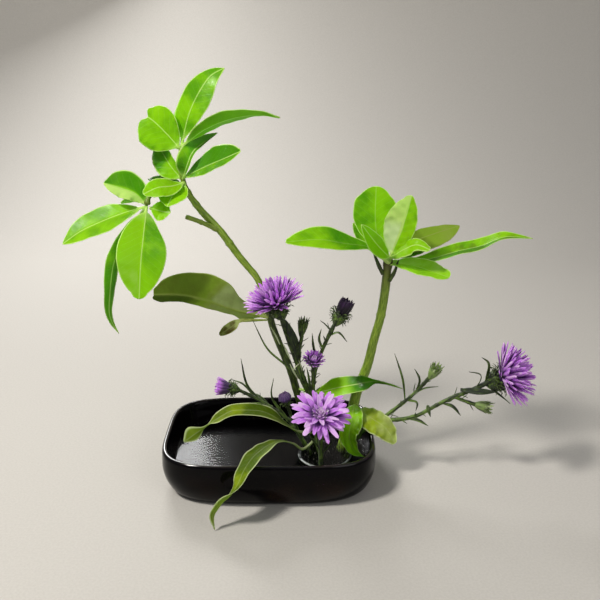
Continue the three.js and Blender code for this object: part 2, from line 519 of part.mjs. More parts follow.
const ASTERS = {
  back: {
    stalks: [
      [[[48, 4, 6], [38, 5, 69], [28, 4, 100], [18, 3, 130], [12, 1, 151]], 2.8, 2.8, 2.6, 2.4, 2.4],
      [[[39, 5, 64], [42, 4, 100], [50, 3, 125], [59, 2, 146]], 2, 1.8, 1.7, 1.9],
      [[[40, 4, 80], [40, -3, 107]], 1.8, 1.8],
      [[[27, 4, 102], [28, 6, 122], [30, 6, 134]], 1.5, 1.4, 1.8],
    ],
    cups: [
      cupUnder(BLOOMS.back, 8.5, 14, 12, 6),
      cupUnder(BUDS.dark, 6.4, 14, 8, 5),
      cupUnder(BUDS.half, 4.4, 7, 5, 3),
      { base: [31, 6, 144], axis: [0.15, 0, 1], radius: 4.2, height: 12, bracts: 6, bractLength: 4 },
    ],
    leaves: [
      [0.8, [32, 4, 86], [14, 3, 106], [-1, 2, 121], [-14, 0, 150]],
      [0.9, [49, 3, 120], [45, 2, 131], [47, 0, 142]],
      [0.9, [54, 2, 134], [62, 0, 138], [70, -2, 130]],
      [1, [35, 5, 80], [25, 6, 98], [25, 8, 118]],
      [0.9, [43, 4, 108], [40, 8, 122], [39, 10, 134]],
      [0.9, [23, 3, 118], [30, 0, 134], [30, -3, 146]],
    ],
  },
  left: {
    stalks: [
      [[[42, 4, 6], [28, 3, 33], [17, 1, 51], [2, 0, 64], [-13, -2, 75], [-28, -4, 84]],
        2.2, 2, 1.7, 1.6, 1.6, 1.6],
      [[[30, 3, 31], [22, -4, 52], [16, -8, 70]], 1.4, 1.3, 1.3],
    ],
    cups: [
      cupUnder(BUDS.left, 5, 10, 8, 4),
      cupUnder(BUDS.low, 4, 8, 5, 2.5),
    ],
    leaves: [
      [0.9, [-8, -1, 72], [-20, -3, 88], [-25, -4, 115]],
      [1, [19, 1, 49], [2, -2, 76], [4, -3, 95]],
      [0.9, [-13, -2, 75], [-24, 3, 86], [-36, 6, 90]],
      [0.9, [3, 0, 63], [-12, 6, 74], [-26, 8, 73]],
      [0.9, [9, 0, 59], [-8, -6, 71], [-22, -8, 72]],
    ],
  },
  front: {
    stalks: [[[[47, -12, 6], [47, -20, 36], [46, -27, 58], [46, -32, 68]], 2.4, 2.2, 2.1, 2.2]],
    cups: [cupUnder(BLOOMS.front, 7, 10, 10, 5)],
    leaves: [
      [1.1, [47, -18, 30], [41, -22, 40], [36, -26, 50]],
      [1.1, [47, -22, 42], [53, -24, 50], [57, -28, 60]],
      [1.1, [47, -16, 24], [54, -17, 34], [59, -20, 42]],
    ],
  },
  right: {
    stalks: [
      [[[69, 0, 6], [80, 0, 31], [95, -1, 47], [107, -2, 52], [119, -4, 54], [134, -5, 58],
        [159, -7, 74], [188, -9, 89], [199, -10, 96]], 2.6, 2.4, 2.2, 2, 1.9, 1.8, 1.8, 2, 2.4],
      [[[94, -1, 46], [111, -2, 60], [126, -3, 74], [134, -3, 82], [147, -4, 99]], 2, 1.8, 1.7, 1.6, 1.8],
      [[[167, -8, 79], [179, -10, 75], [189, -11, 72]], 1.4, 1.6, 2],
    ],
    cups: [
      cupUnder(BLOOMS.right, 10.5, 18, 14, 6),
      { base: [151, -5, 107], axis: [0.45, -0.1, 0.9], radius: 5, height: 13, bracts: 7, bractLength: 3 },
      { base: [199, -12, 70], axis: [0.95, -0.1, -0.2], radius: 5, height: 13, bracts: 7, bractLength: 3 },
    ],
    leaves: [
      [0.9, [124, -3, 72], [121, -2, 93], [113, 0, 118]],
      [0.9, [133, -3, 80], [136, -4, 94], [131, -4, 105]],
      [0.9, [127, -3, 75], [140, -8, 87], [152, -12, 91]],
      [0.9, [125, -3, 73], [134, -8, 73], [133, -11, 66]],
      [1.3, [124, -4, 55], [135, -9, 56], [145, -13, 52]],
      [1.4, [147, -6, 66], [144, -11, 70], [146, -15, 62]],
      [1.3, [157, -7, 72], [166, -12, 71], [173, -16, 64]],
      [0.9, [187, -9, 88], [189, -12, 102], [178, -13, 106]],
      [1.2, [194, -10, 93], [196, -8, 112], [190, -6, 117]],
      [1.2, [194, -10, 92], [206, -14, 84], [216, -18, 77]],
      [2.4, [172, -9, 81], [189, -14, 89], [205, -18, 91]],
    ],
  },
};

// ---------------------------------------------------------------- the arrangement

const group = new THREE.Group();
group.name = 'ikebana_arrangement';

function place(name, solid, finish) {
  const mesh = new THREE.Mesh(toGeometry(solid), MATERIALS[finish]);
  mesh.name = name;
  group.add(mesh);
}

// Leaves are trimmed to stand just off the stem that they grow on and off the leaves before them.
const placeLeaves = (name, leaves) => leaves.forEach((leaf, index) => {
  const number = String(index + 1).padStart(2, '0');
  const clear = leaves.slice(0, index).map((other) => blade(other, GAP));
  const solid = clear.reduce((rest, other) => rest.subtract(other), blade(leaf).subtract(leaf.on(GAP)));
  place(`${name}_${number}`, largest(solid), leaf.finish ?? 'leaf');
});

const asters = Object.values(ASTERS);
const stems = [leftBranch, rightBranch, ...asters.map((aster) => (grow) => asterStem(aster, grow))];
const mainStalks = [
  [LEFT_STEM, ...LEFT_STEM_RADII], [RIGHT_STEM, ...RIGHT_STEM_RADII], ...asters.map(({ stalks }) => stalks[0]),
];

place('dish', dish(), 'glaze');
place('water', water(stems.map((stem) => stem(GAP))), 'water');
place('kenzan', kenzan(mainStalks), 'lead');
place('branch_left', leftBranch(), 'branch');
place('branch_right', rightBranch(), 'branch');
placeLeaves('leaf_left', LEFT_LEAVES);
placeLeaves('leaf_right', RIGHT_LEAVES);
placeLeaves('leaf_low', LOW_LEAVES);
Object.entries(ASTERS).forEach(([name, aster]) => place(`aster_${name}`, asterStem(aster), 'asterGreen'));
Object.entries(BLOOMS).forEach(([name, bloom]) => place(`bloom_${name}`, rays(bloom), 'ray'));
Object.entries(BUDS).forEach(([name, one]) =>
  place(`bud_${name}`, rays(one), name === 'dark' ? 'darkRay' : 'ray'));

export default group;
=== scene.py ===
"""An ikebana arrangement: a black glazed dish of water with a pin holder, two leafy branches, low
leaves and four aster stems.

Lengths are in millimetres, in the frame of the solid model, until a piece is made into an object.
"""
import math
import random

import bpy
import numpy as np
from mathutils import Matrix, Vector


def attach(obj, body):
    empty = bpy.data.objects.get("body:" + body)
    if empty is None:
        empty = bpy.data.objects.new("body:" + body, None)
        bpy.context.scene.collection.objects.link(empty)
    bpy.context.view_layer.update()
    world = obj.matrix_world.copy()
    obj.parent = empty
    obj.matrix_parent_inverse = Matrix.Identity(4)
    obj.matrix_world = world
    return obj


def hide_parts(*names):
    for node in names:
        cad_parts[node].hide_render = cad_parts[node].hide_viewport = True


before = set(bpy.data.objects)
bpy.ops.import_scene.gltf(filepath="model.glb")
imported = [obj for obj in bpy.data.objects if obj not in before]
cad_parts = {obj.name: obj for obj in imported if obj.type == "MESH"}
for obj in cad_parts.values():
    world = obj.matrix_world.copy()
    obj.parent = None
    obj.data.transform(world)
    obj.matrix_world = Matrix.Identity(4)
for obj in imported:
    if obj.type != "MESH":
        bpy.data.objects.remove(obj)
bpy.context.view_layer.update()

GOLDEN_ANGLE = math.pi * (3 - math.sqrt(5))
DISH = {"length": 194.6, "depth": 138.4, "height": 42, "corner": 4.2, "foot_corner": 3.6}
KENZAN = {"x": 51.5, "y": 6, "bottom": 6.8, "radius": 25.5, "base": 5.5, "pin": 8, "pitch": 3.1}
KENZAN_TOP = KENZAN["bottom"] + KENZAN["base"]


# ---------------------------------------------------------------- numbers and curves

def unit(v):
    v = np.asarray(v, float)
    return v / np.maximum(np.linalg.norm(v, axis=-1, keepdims=True), 1e-9)


def ease(x, start, end):
    """0 before start, 1 after end, smooth between."""
    t = np.clip((np.asarray(x, float) - start) / (end - start), 0, 1)
    return t * t * (3 - 2 * t)


def turned(v, axis, angle):
    """v turned about a unit axis, row by row."""
    c, s = np.cos(angle)[..., None], np.sin(angle)[..., None]
    return v * c + np.cross(axis, v) * s + axis * (np.sum(axis * v, -1, keepdims=True)) * (1 - c)


def ripple(x, y, seed, terms=5):
    """A smooth irregular wave of x and y, from about -1 to 1, with features one unit apart."""
    draw = random.Random(seed).uniform
    total = 0
    for _ in range(terms):
        angle, phase, pitch = draw(0, math.pi), draw(0, 2 * math.pi), draw(0.6, 1.6)
        total = total + np.sin(2 * math.pi * pitch * (x * math.cos(angle) + y * math.sin(angle)) + phase)
    return total / terms


class Path:
    """The smooth curve through some points, walked by its length from 0 to 1."""

    def __init__(self, points, span=24):
        p = [np.array(q, float) for q in points]
        p = [2 * p[0] - p[1], *p, 2 * p[-1] - p[-2]]
        t = np.linspace(0, 1, span, endpoint=False)[:, None]
        parts = []
        for a, b, c, d in zip(p, p[1:], p[2:], p[3:]):
            ta, tb, tc = (np.linalg.norm(m - n) ** 0.5 for m, n in ((b, a), (c, b), (d, c)))
            start = ((b - a) / ta - (c - a) / (ta + tb) + (c - b) / tb) * tb
            end = ((c - b) / tb - (d - b) / (tb + tc) + (d - c) / tc) * tb
            parts.append(b + start * t + (3 * (c - b) - 2 * start - end) * t**2
                         + (2 * (b - c) + start + end) * t**3)
        self.points = np.vstack([*parts, p[-2][None]])
        walked = np.r_[0, np.cumsum(np.linalg.norm(np.diff(self.points, axis=0), axis=1))]
        self.length = walked[-1]
        self.share = walked / self.length

    def at(self, v):
        return np.stack([np.interp(v, self.share, self.points[:, k]) for k in range(3)], axis=-1)

    def tangent(self, v):
        return unit(self.at(np.minimum(v + 0.012, 1)) - self.at(np.maximum(v - 0.012, 0)))


def around(axis):
    """A function from an angle to the direction at that angle, square to the axis."""
    first = np.array([0.3, 0.1, 1.0])
    first -= axis * (first @ axis)
    if np.linalg.norm(first) < 0.3:
        first = np.array([1.0, 0, 0]) - axis * axis[0]
    first = unit(first)
    second = np.cross(axis, first)
    return lambda angle: first * math.cos(angle) + second * math.sin(angle)


# ---------------------------------------------------------------- pieces

# What a material can read at a point: how far it is along its leaf, stem or ray, across it from the
# rib and in from the margin, in millimetres, its share of the length, whether it is on the upper
# face, and the tone, age and paleness of the rib of that one leaf or ray; the tone also paints light
# and shade on it. On a stem, across is the angle around it and edge its radius.
READS = ("along", "across", "edge", "share", "upper", "tone", "age", "ribbed")


def new_object(name, data):
    """An object in the scene."""
    made = bpy.data.objects.new(name, data)
    bpy.context.scene.collection.objects.link(made)
    return made


def smooth_object(name, points, faces, looks):
    mesh = bpy.data.meshes.new(name)
    mesh.from_pydata(points, [], faces)
    mesh.shade_smooth()
    for look in looks:
        mesh.materials.append(look)
    return new_object(name, mesh)


class Piece:
    """One object made of many smooth patches, with the numbers that its materials read."""

    def __init__(self, name, looks):
        self.name, self.looks = name, looks
        self.points, self.faces, self.slots = [], [], []
        self.values = {read: [] for read in READS}
        self.count = 0

    def add(self, points, faces, slot=0, **values):
        points = np.asarray(points, float).reshape(-1, 3)
        self.points.append(points)
        self.faces.extend([i + self.count for i in face] for face in faces)
        self.slots.extend([slot] * len(faces))
        for read in READS:
            value = np.asarray(values.get(read, 0.0), float)
            self.values[read].append(np.broadcast_to(value.reshape(-1) if value.ndim else value, len(points)))
        self.count += len(points)

    def make(self, slot, *nodes):
        """The object, standing for CAD nodes, with its piece's own looks. Its slot argument is not used."""
        made = smooth_object(self.name, (np.vstack(self.points) / 1000).tolist(), self.faces, self.looks)
        made.data.polygons.foreach_set("material_index", self.slots)
        for read in READS:
            values = np.concatenate(self.values[read])
            if values.any():
                made.data.attributes.new(read, "FLOAT", "POINT").data.foreach_set("value", values)
        made.data.update()
        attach(made, "root")
        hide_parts(*(nodes or [self.name.removesuffix("_fine")]))
        return made


def loft(piece, rings, slot=0, foot=True, top=True, **values):
    """A skin over rings of as many points each, with its foot and top closed."""
    rings = np.asarray(rings, float)
    index = np.arange(rings.shape[0] * rings.shape[1]).reshape(rings.shape[:2])
    a, b = index[:-1], index[1:]
    faces = np.stack([a, np.roll(a, -1, 1), np.roll(b, -1, 1), b], -1).reshape(-1, 4).tolist()
    if foot:
        faces.append(index[0, ::-1].tolist())
    if top:
        faces.append(index[-1].tolist())
    piece.add(rings, faces, slot, **values)


def sheet(piece, top, bottom, slot, **values):
    """A closed thin sheet between two grids of points. Each value is a number, a grid, or two grids."""
    rows, columns = top.shape[:2]
    index = np.arange(rows * columns).reshape(rows, columns)
    a, b, c, d = index[:-1, :-1], index[1:, :-1], index[1:, 1:], index[:-1, 1:]
    upper = np.stack([a, b, c, d], -1).reshape(-1, 4)
    lower = np.stack([a, d, c, b], -1).reshape(-1, 4) + index.size
    rim = np.r_[index[:-1, 0], index[-1, :-1], index[:0:-1, -1], index[0, :0:-1]]
    after = np.roll(rim, -1)
    side = np.stack([after, rim, rim + index.size, after + index.size], -1)
    for name, value in values.items():
        if np.ndim(value) == 2:
            values[name] = np.stack([value, value])
    piece.add(np.stack([top, bottom]), np.vstack([upper, lower, side]).tolist(), slot, **values)


LEAF_ACROSS = np.array([0, 0.03, 0.07, 0.14, 0.25, 0.38, 0.52, 0.66, 0.79, 0.89, 0.955, 1])
LEAF_ACROSS = np.r_[-LEAF_ACROSS[:0:-1], LEAF_ACROSS]


def blade(piece, rib, width, face, stalk=0.06, stalk_width=2.4, tip_width=0.8, fullest=1, bluntness=0.8,
          fold=0.15, twist=0, turn=None, halves=(1, 1), lobes=(), thickness=0.5, rows=44, across=LEAF_ACROSS,
          wave=0.0, waves=2.5, roll=0.0, quilt=0.0, ridge=0.0, notch=0.0, crinkle=0.0, seed=0, slot=0,
          tone=0.5, split=0.0, age=0.0, ribbed=0.7):
    """A leaf or petal along its rib. face is the way its upper side looks.

    stalk is the share that is petiole. fullest below 1 is widest near the root, and bluntness below 1
    has round shoulders. halves scale the two sides of the rib, and lobes are (side, share, height,
    length) of bulges in a margin. fold lifts the margins over the rib, and roll lifts only the outermost
    part. twist is spread along the rib, and turn is (share, degrees) of one quick turn. wave, quilt,
    ridge, notch and crinkle are heights in millimetres: of the margin's waves, of the bulges between the
    side veins, of the rib underneath, of the dent in the tip and of fine wrinkles. A tone of two numbers
    changes halfway from the first to the second; a low tone is painted shade and a high one a painted
    highlight. split is how much lighter one half is, as painted light.
    """
    path = Path(rib)
    t = np.linspace(0, 1, rows + 1)
    v = 0.45 * t + 0.55 * (1 - np.cos(np.pi * t)) / 2
    centre, tangent = path.at(v), path.tangent(v)
    facing = unit(face)
    normal = unit(facing - tangent * (tangent @ facing)[:, None])
    angle = twist * v + (turn[1] * ease(v, turn[0] - 0.09, turn[0] + 0.09) if turn else 0)
    normal = turned(normal, tangent, np.radians(angle))
    side = np.cross(normal, tangent)

    spread = np.clip((v - stalk) / (1 - stalk), 0, 1)
    swell = np.sin(np.pi * spread**fullest).clip(0) ** bluntness
    half = np.maximum(width / 2 * swell, (stalk_width + (tip_width - stalk_width) * v) / 2)
    rounding = min(max(tip_width * 0.6, 1.2) / path.length, 0.4)
    half = half * np.sqrt(np.maximum(1 - ((v - 1 + rounding) / rounding).clip(0) ** 2, 0.008))

    a = across[None, :]
    v, half = v[:, None], half[:, None]
    x = a * half * np.where(a < 0, *halves)
    for way, place, height, long in lobes:
        swelling = height * np.exp(-(((v - place) * path.length / long) ** 2))
        x = x + np.where(a * way > 0, way * a * a * swelling, 0)
    along = np.broadcast_to(v * path.length, x.shape)
    bent = (np.sqrt(a**2 + 0.02) - 0.14) / 0.87
    lift = half * (fold * bent + roll * a**4)
    body = ease(v, stalk, stalk + 0.15) * np.sin(np.pi * v.clip(0, 0.97) ** 1.2) ** 0.5
    phase = np.where(a < 0, 0.0, 1.9) + seed * 2.4
    waving = np.sin(2 * np.pi * waves * v + phase) + 0.4 * np.sin(5.1 * np.pi * waves * v + 3 * phase)
    lift = lift + wave * body * a**2 * waving
    lift = lift + quilt * body * np.cos(2 * np.pi * (along - 0.8 * abs(x)) / 6) * 4 * abs(a) * (1 - abs(a))
    lift = lift + crinkle * body * ripple(along / 7, x / 7, seed + 50) * (0.3 + abs(a))
    dent = notch * ease(v, 0.8, 1) * np.exp(-((x / (1.2 + 0.55 * notch)) ** 2))
    tangent, side, normal = tangent[:, None], side[:, None], normal[:, None]
    points = centre[:, None] + side * x[..., None] + normal * lift[..., None]
    points = points - tangent * dent[..., None]

    petiole = 1 - ease(v, stalk * 0.6, stalk + 0.06) if stalk > 0.03 else 0
    thick = thickness * (1 - 0.4 * a**2)
    thick = thick + petiole * (1.6 * half * np.sqrt(1 - 0.97 * a**2) - thick)
    spine = np.exp(-((x / 0.8) ** 2)) * (1 - v) ** 0.5 * ridge
    top = points + normal * (thick / 2 + 0.35 * spine)[..., None]
    bottom = points - normal * (thick / 2 + spine)[..., None]
    edge = np.minimum((1 - abs(a)) * abs(x[:, :1] - x[:, -1:]) / 2, path.length - along + 0.2)
    upper = np.stack([np.ones_like(x), np.zeros_like(x)])
    share = np.broadcast_to(v, x.shape)
    if isinstance(tone, tuple):
        tone = tone[0] + (tone[1] - tone[0]) * ease(share + 0.06 * a, 0.45, 0.7)
    tone = tone + split * np.clip(8 * a, -1, 1) + np.zeros_like(x)
    sheet(piece, top, bottom, slot, along=along, across=x, edge=edge, share=share, upper=upper, tone=tone,
          age=age, ribbed=ribbed)


def tube(piece, points, radii, sides=18, step=1.6, tone=0.5, age=0.0, knots=(), rough=0.0, seed=0,
         square_end=False):
    """A stem along a curve, its tip rounded off or cut square.

    radii are spread evenly from foot to tip. knots are (share, height, length) of swollen rings. rough
    is how far its skin wanders. A tone of two numbers changes halfway from the first to the second.
    """
    path = Path(points)
    steps = max(int(path.length / step), 4)
    v = np.linspace(0, 1, steps + 1)
    radius = np.interp(v, np.linspace(0, 1, len(radii)), radii)
    for place, height, long in knots:
        radius = radius + height * np.exp(-(((v - place) * path.length / long) ** 2))
    if not square_end:
        last = np.clip((v - 1) * path.length / radii[-1] + 1, 0, 1)
        radius = radius * np.sqrt(np.maximum(1 - last**2, 0.02))
    centre, tangent = path.at(v), path.tangent(v)
    normal = np.empty_like(tangent)
    normal[0] = around(tangent[0])(0)
    for k in range(1, steps + 1):
        normal[k] = unit(normal[k - 1] - tangent[k] * (normal[k - 1] @ tangent[k]))
    binormal = np.cross(tangent, normal)
    angle = np.linspace(0, 2 * np.pi, sides, endpoint=False)[None, :]
    along = np.broadcast_to((v * path.length)[:, None], (steps + 1, sides))
    reach = radius[:, None] * np.ones_like(angle)
    if rough:
        reach = reach + rough * ripple(along / 9, np.sin(angle) * 0.6, seed)
        reach = reach + rough * 0.5 * ripple(along / 40, np.cos(angle) * 0.8, seed + 1)
    rings = (centre[:, None] + normal[:, None] * (reach * np.cos(angle))[..., None]
             + binormal[:, None] * (reach * np.sin(angle))[..., None])
    if isinstance(tone, tuple):
        tone = np.repeat(tone[0] + (tone[1] - tone[0]) * ease(v, 0.4, 0.62), sides)
    loft(piece, rings, along=along, across=np.broadcast_to(angle, along.shape), edge=radius.repeat(sides),
         share=np.repeat(v, sides), upper=1.0, tone=tone, age=age)


# ---------------------------------------------------------------- materials

def arithmetic(operation):
    """A method that works an operation out in a math node."""
    return lambda *values: values[0].look.calc(operation, *values)


class Value:
    """A number that a material works out at each point, with the usual arithmetic."""

    __add__, __sub__, __mul__ = arithmetic("ADD"), arithmetic("SUBTRACT"), arithmetic("MULTIPLY")
    __truediv__, __pow__, __abs__ = arithmetic("DIVIDE"), arithmetic("POWER"), arithmetic("ABSOLUTE")

    def __init__(self, look, socket):
        self.look, self.socket = look, socket


class Look:
    """A material, built a few nodes at a time. Each cover lays a colour over its colour so far."""

    def __init__(self, name):
        self.material = bpy.data.materials.new(name)
        self.material.use_nodes = True
        self.tree = self.material.node_tree
        self.tree.nodes.clear()
        self.colour = None

    def node(self, kind, inputs=None, **settings):
        node = self.tree.nodes.new("ShaderNode" + kind)
        for name, value in settings.items():
            setattr(node, name, value)
        for key, value in (inputs or {}).items():
            value = getattr(value, "socket", value)
            if isinstance(value, bpy.types.NodeSocket):
                self.tree.links.new(value, node.inputs[key])
            else:
                node.inputs[key].default_value = value
        return node

    def value(self, kind, output, inputs=None, **settings):
        return Value(self, self.node(kind, inputs, **settings).outputs[output])

    def read(self, *names):
        return [self.value("Attribute", "Fac", attribute_name=name) for name in names]

    def calc(self, operation, *values):
        return self.value("Math", 0, dict(enumerate(values)), operation=operation)

    def band(self, value, start, end, low=0.0, high=1.0):
        """low where value is start, high where it is end, smooth between."""
        limits = {"Value": value, "From Min": start, "From Max": end, "To Min": low, "To Max": high}
        return self.value("MapRange", 0, limits, interpolation_type="SMOOTHSTEP")

    def place(self):
        return self.node("TexCoord").outputs["Object"]

    def position(self):
        """Three numbers: the place in metres."""
        return [Value(self, part) for part in self.node("SeparateXYZ", {0: self.place()}).outputs]

    def vector(self, x, y, z=0.0):
        return self.node("CombineXYZ", {0: x, 1: y, 2: z}).outputs[0]

    def noise(self, scale, detail, where=None):
        inputs = {"Vector": where or self.place(), "Scale": scale, "Detail": detail, "Roughness": 0.5}
        return self.value("TexNoise", "Fac", inputs)

    def cells(self, scale, where=None, feature="F1"):
        return self.value("TexVoronoi", "Distance", {"Vector": where or self.place(), "Scale": scale},
                          feature=feature)

    def mix(self, share, a, b):
        return self.node("Mix", {0: share, 6: a, 7: b}, data_type="RGBA").outputs[2]

    def cover(self, colour, share):
        self.colour = self.mix(share, self.colour, colour)

    def bump(self, height, distance, strength):
        return self.node("Bump", {"Height": height, "Distance": distance, "Strength": strength}).outputs[0]

    def principled(self, **inputs):
        named = {"Base Color": self.colour}
        for name, value in inputs.items():
            named[name.replace("_", " ").title().replace("Ior", "IOR")] = value
        return self.node("BsdfPrincipled", named).outputs[0]

    def blend(self, share, a, b):
        return self.node("MixShader", {0: share, 1: a, 2: b}).outputs[0]

    def done(self, shader):
        self.tree.links.new(shader, self.node("OutputMaterial").inputs["Surface"])
        return self.material

    def lit_through(self, share, colour, skin, **more):
        """The skin, with a share of the light passing through it in a colour."""
        through = self.node("BsdfTranslucent", {"Color": colour, **more}).outputs[0]
        return self.done(self.blend(share, skin, through))


def rgb(red, green, blue):
    """A colour from 0 to 255 as it looks on screen."""
    shares = (red / 255, green / 255, blue / 255)
    return (*(((c + 0.055) / 1.055) ** 2.4 if c > 0.04 else c / 12.92 for c in shares), 1)


def leaf_look(name, dark, deep, bright, under, pale, lit, gloss=0.34, shine=0.3, border=1.1):
    """A living leaf: two greens in patches, a pale rib and side veins, a pale margin that is partly a painted
    highlight, and light through it.

    Its tone goes from dark below 0, which is painted shade, through the two greens to pale above 1.5, which
    is a painted highlight."""
    look = Look(name)
    along, across, edge, share, upper, tone, age, ribbed = look.read(*READS)
    aside = abs(across)
    patches = look.noise(55, 4)

    # side veins leave the rib every 6 mm and bow towards the tip
    phase = (along - aside**0.85 * 1.15) / 6.0 + look.noise(60, 1) * 0.5
    off_vein = abs(look.calc("FRACT", phase) - 0.5)
    vein = look.band(off_vein, 0.0, 0.06, 1, 0) * look.band(edge, 0.6, 3.5)
    net = look.band(look.cells(420, feature="DISTANCE_TO_EDGE"), 0.0, 0.12, 1, 0)
    rib = look.band(aside, 0.15, look.calc("MAXIMUM", ribbed, 0.65), 1, 0)

    # two greens by patches and tone; the tone also stands for how brightly the leaf is lit
    brightness = look.band(patches, 0.3, 0.72) * 0.55 + tone * 0.75
    look.colour = look.mix(look.band(brightness, 0.15, 1.0), deep, bright)
    look.cover(bright, net * 0.12)
    look.cover(pale, vein * 0.1)
    # painted highlights: pale patches where the tone is high, and nearly white where it is highest
    look.cover(pale, look.band(tone + patches * 1.2, 2.0, 2.8, 0.0, 0.9))
    look.cover(rgb(252, 255, 220), look.band(tone, 2.4, 3.4, 0.0, 0.7))
    look.cover(under, look.band(upper, 0.4, 0.6, 0.5, 0.0))
    look.cover(rgb(96, 74, 30), age * look.band(look.noise(120, 4), 0.42, 0.62))
    look.cover(pale, look.band(share, 0.04, 0.2, 0.5, 0.0))
    look.cover(pale, rib * look.calc("MINIMUM", ribbed, 0.8))
    # the pale margin, partly a painted highlight along the edge
    look.cover(pale, look.band(edge, 0.3, border, 1, 0) * 0.85)
    # painted shade: dark green where the tone is below 0
    look.cover(dark, look.band(tone, 0.0, -1.2, 0.0, 0.85))

    normal = look.bump(look.noise(900, 2) * 0.25 - vein * 0.35 - net * 0.25, 0.0002, 0.5)
    rough = look.band(look.noise(200, 3), 0.3, 0.7, gloss - 0.06, gloss + 0.1)
    rough = rough + look.band(upper, 0.4, 0.6, 0.18, 0.0)
    skin = look.principled(roughness=rough, specular_ior_level=shine, normal=normal)
    return look.lit_through(0.45, look.mix(0.75, look.colour, lit), skin, Normal=normal)


def stem_look(name, deep, bright, mark, brown):
    """Green bark: fine lengthways streaks and pale pores, and brown where its age says.

    Its tone goes from dark streaks below 0 through green to pale above 1; its low tones are painted shade."""
    look = Look(name)
    along, angle, share, tone, age = look.read("along", "across", "share", "tone", "age")
    c, s = look.calc("COSINE", angle), look.calc("SINE", angle)
    streaks = look.noise(7, 4, look.vector(c, s, along * 0.02))
    patches = look.noise(45, 4)
    pores = look.band(look.cells(2.4, look.vector(c, s, along * 0.16)), 0.1, 0.17, 1, 0)
    look.colour = look.mix(look.band(streaks, 0.32, 0.68), deep, bright)
    look.cover(brown, look.band(patches, 0.5, 0.72) * 0.15)
    look.cover(brown, look.band(share, 0.78, 1.0) * age)
    look.cover(mark, pores * 0.4)
    # painted shade: darker green, and dark streaks, where the tone is low
    look.cover(deep, look.band(tone, 0.5, 0.0, 0.0, 0.5))
    look.cover(rgb(18, 24, 8), look.band(tone, 0.1, -1.0) * look.band(streaks, 0.4, 0.75, 1, 0.4))
    look.cover(mark, look.band(tone, 0.9, 1.6, 0.0, 0.6))
    height = streaks * 0.8 + pores * 0.5 + look.noise(700, 3) * 0.3
    skin = look.principled(roughness=look.band(patches, 0.3, 0.7, 0.34, 0.5),
                           normal=look.bump(height, 0.0003, 0.5))
    return look.lit_through(0.12, bright, skin)


def green_look(name, deep, bright, tip):
    """Aster greens: stalk, bracts and narrow leaves, dark, finely hairy and darkest at their tips, and pale
    where their tone is high, as painted highlights.
    """
    look = Look(name)
    along, angle, share, tone = look.read("along", "across", "share", "tone")
    patches, fibres = look.noise(180, 4), look.noise(1600, 2)
    around = look.vector(look.calc("COSINE", angle), look.calc("SINE", angle), along * 0.05)
    value = look.band(patches, 0.35, 0.65) * 0.35 + tone * 0.6
    value = value + look.band(look.noise(2.4, 3, around), 0.35, 0.65, -0.25, 0.45)
    look.colour = look.mix(look.band(value, 0.2, 1.1), deep, bright)
    look.cover(tip, look.band(share, 0.55, 1.0, 0.0, 0.7))
    look.cover(rgb(170, 180, 130), look.band(fibres, 0.62, 0.75) * 0.2)
    # painted highlights: pale bracts and leaves where the tone is high
    look.cover(rgb(222, 232, 184), look.band(tone, 0.9, 1.5, 0.0, 0.75))
    skin = look.principled(roughness=0.58, sheen_weight=0.15,
                           normal=look.bump(patches + fibres, 0.0003, 0.7))
    return look.lit_through(0.16, bright, skin)


def ray_look(name, deep, bright, pale, lit):
    """A ray of an aster: violet, deeper at its root, partly as painted shade where the rays crowd, with fine
    lengthways lines and pale margins.

    Its tone goes from deep below 0 to nearly white above 2, and the pale of a high tone is a painted
    highlight."""
    look = Look(name)
    across, edge, share, upper, tone = look.read("across", "edge", "share", "upper", "tone")
    lines = look.noise(1.0, 2, look.vector(across * 3.2, share * 1.2, tone * 37.0))
    # deeper towards the root, partly painted shade where the rays crowd together
    value = look.band(share, 0.2, 0.9, -0.4, 0.75) + tone * 0.5
    look.colour = look.mix(look.band(value, 0.1, 1.0), deep, bright)
    # painted highlights: pale lines on bright rays, and pale patches on rays of high tone
    look.cover(pale, look.band(lines, 0.46, 0.64) * look.band(value, 0.6, 1.3, 0.05, 0.8))
    look.cover(pale, look.band(tone, 1.0, 2.6, 0.0, 0.75) * look.band(share, 0.15, 0.7))
    look.cover(pale, look.band(edge, 0.1, 0.5, 0.15, 0.0))
    look.cover(pale, look.band(upper, 0.4, 0.6, 0.04, 0.0))
    skin = look.principled(roughness=0.4, sheen_weight=0.2, normal=look.bump(lines, 0.0003, 0.6))
    return look.lit_through(0.42, look.mix(0.5, look.colour, lit), skin)


def glaze_look(name, shine):
    """Black glaze: mirror-smooth with a faint orange peel, worn thin to brown low on the outer wall."""
    look = Look(name)
    x, y, height = look.position()
    clouds = look.noise(22, 4)
    aside = look.calc("MAXIMUM", abs(x) / (DISH["length"] / 2000), abs(y) / (DISH["depth"] / 2000))
    low = look.band(height, 0.004, 0.036, 1, 0) * look.band(clouds, 0.4, 0.7)
    # lighter brown along the rim, where the glaze is thin, and partly a painted highlight on it
    rim = look.band(height, 0.0405, 0.042) * look.band(look.noise(60, 3), 0.35, 0.65)
    look.colour = look.mix(low * look.band(aside, 0.88, 0.93), rgb(5, 4, 5), rgb(34, 20, 12))
    look.cover(rgb(40, 30, 24), rim * 0.6)
    look.cover(rgb(96, 86, 78), look.band(look.cells(260), 0.05, 0.1, 1, 0) * 0.08)
    foot = look.band(height, 0.0003, 0.0016, 0.6, 0.0)
    return look.done(look.principled(roughness=look.band(clouds, 0.3, 0.75, 0.04, 0.14) + foot,
                                     specular_ior_level=shine,
                                     normal=look.bump(look.noise(120, 2), 0.0006, 0.04)))


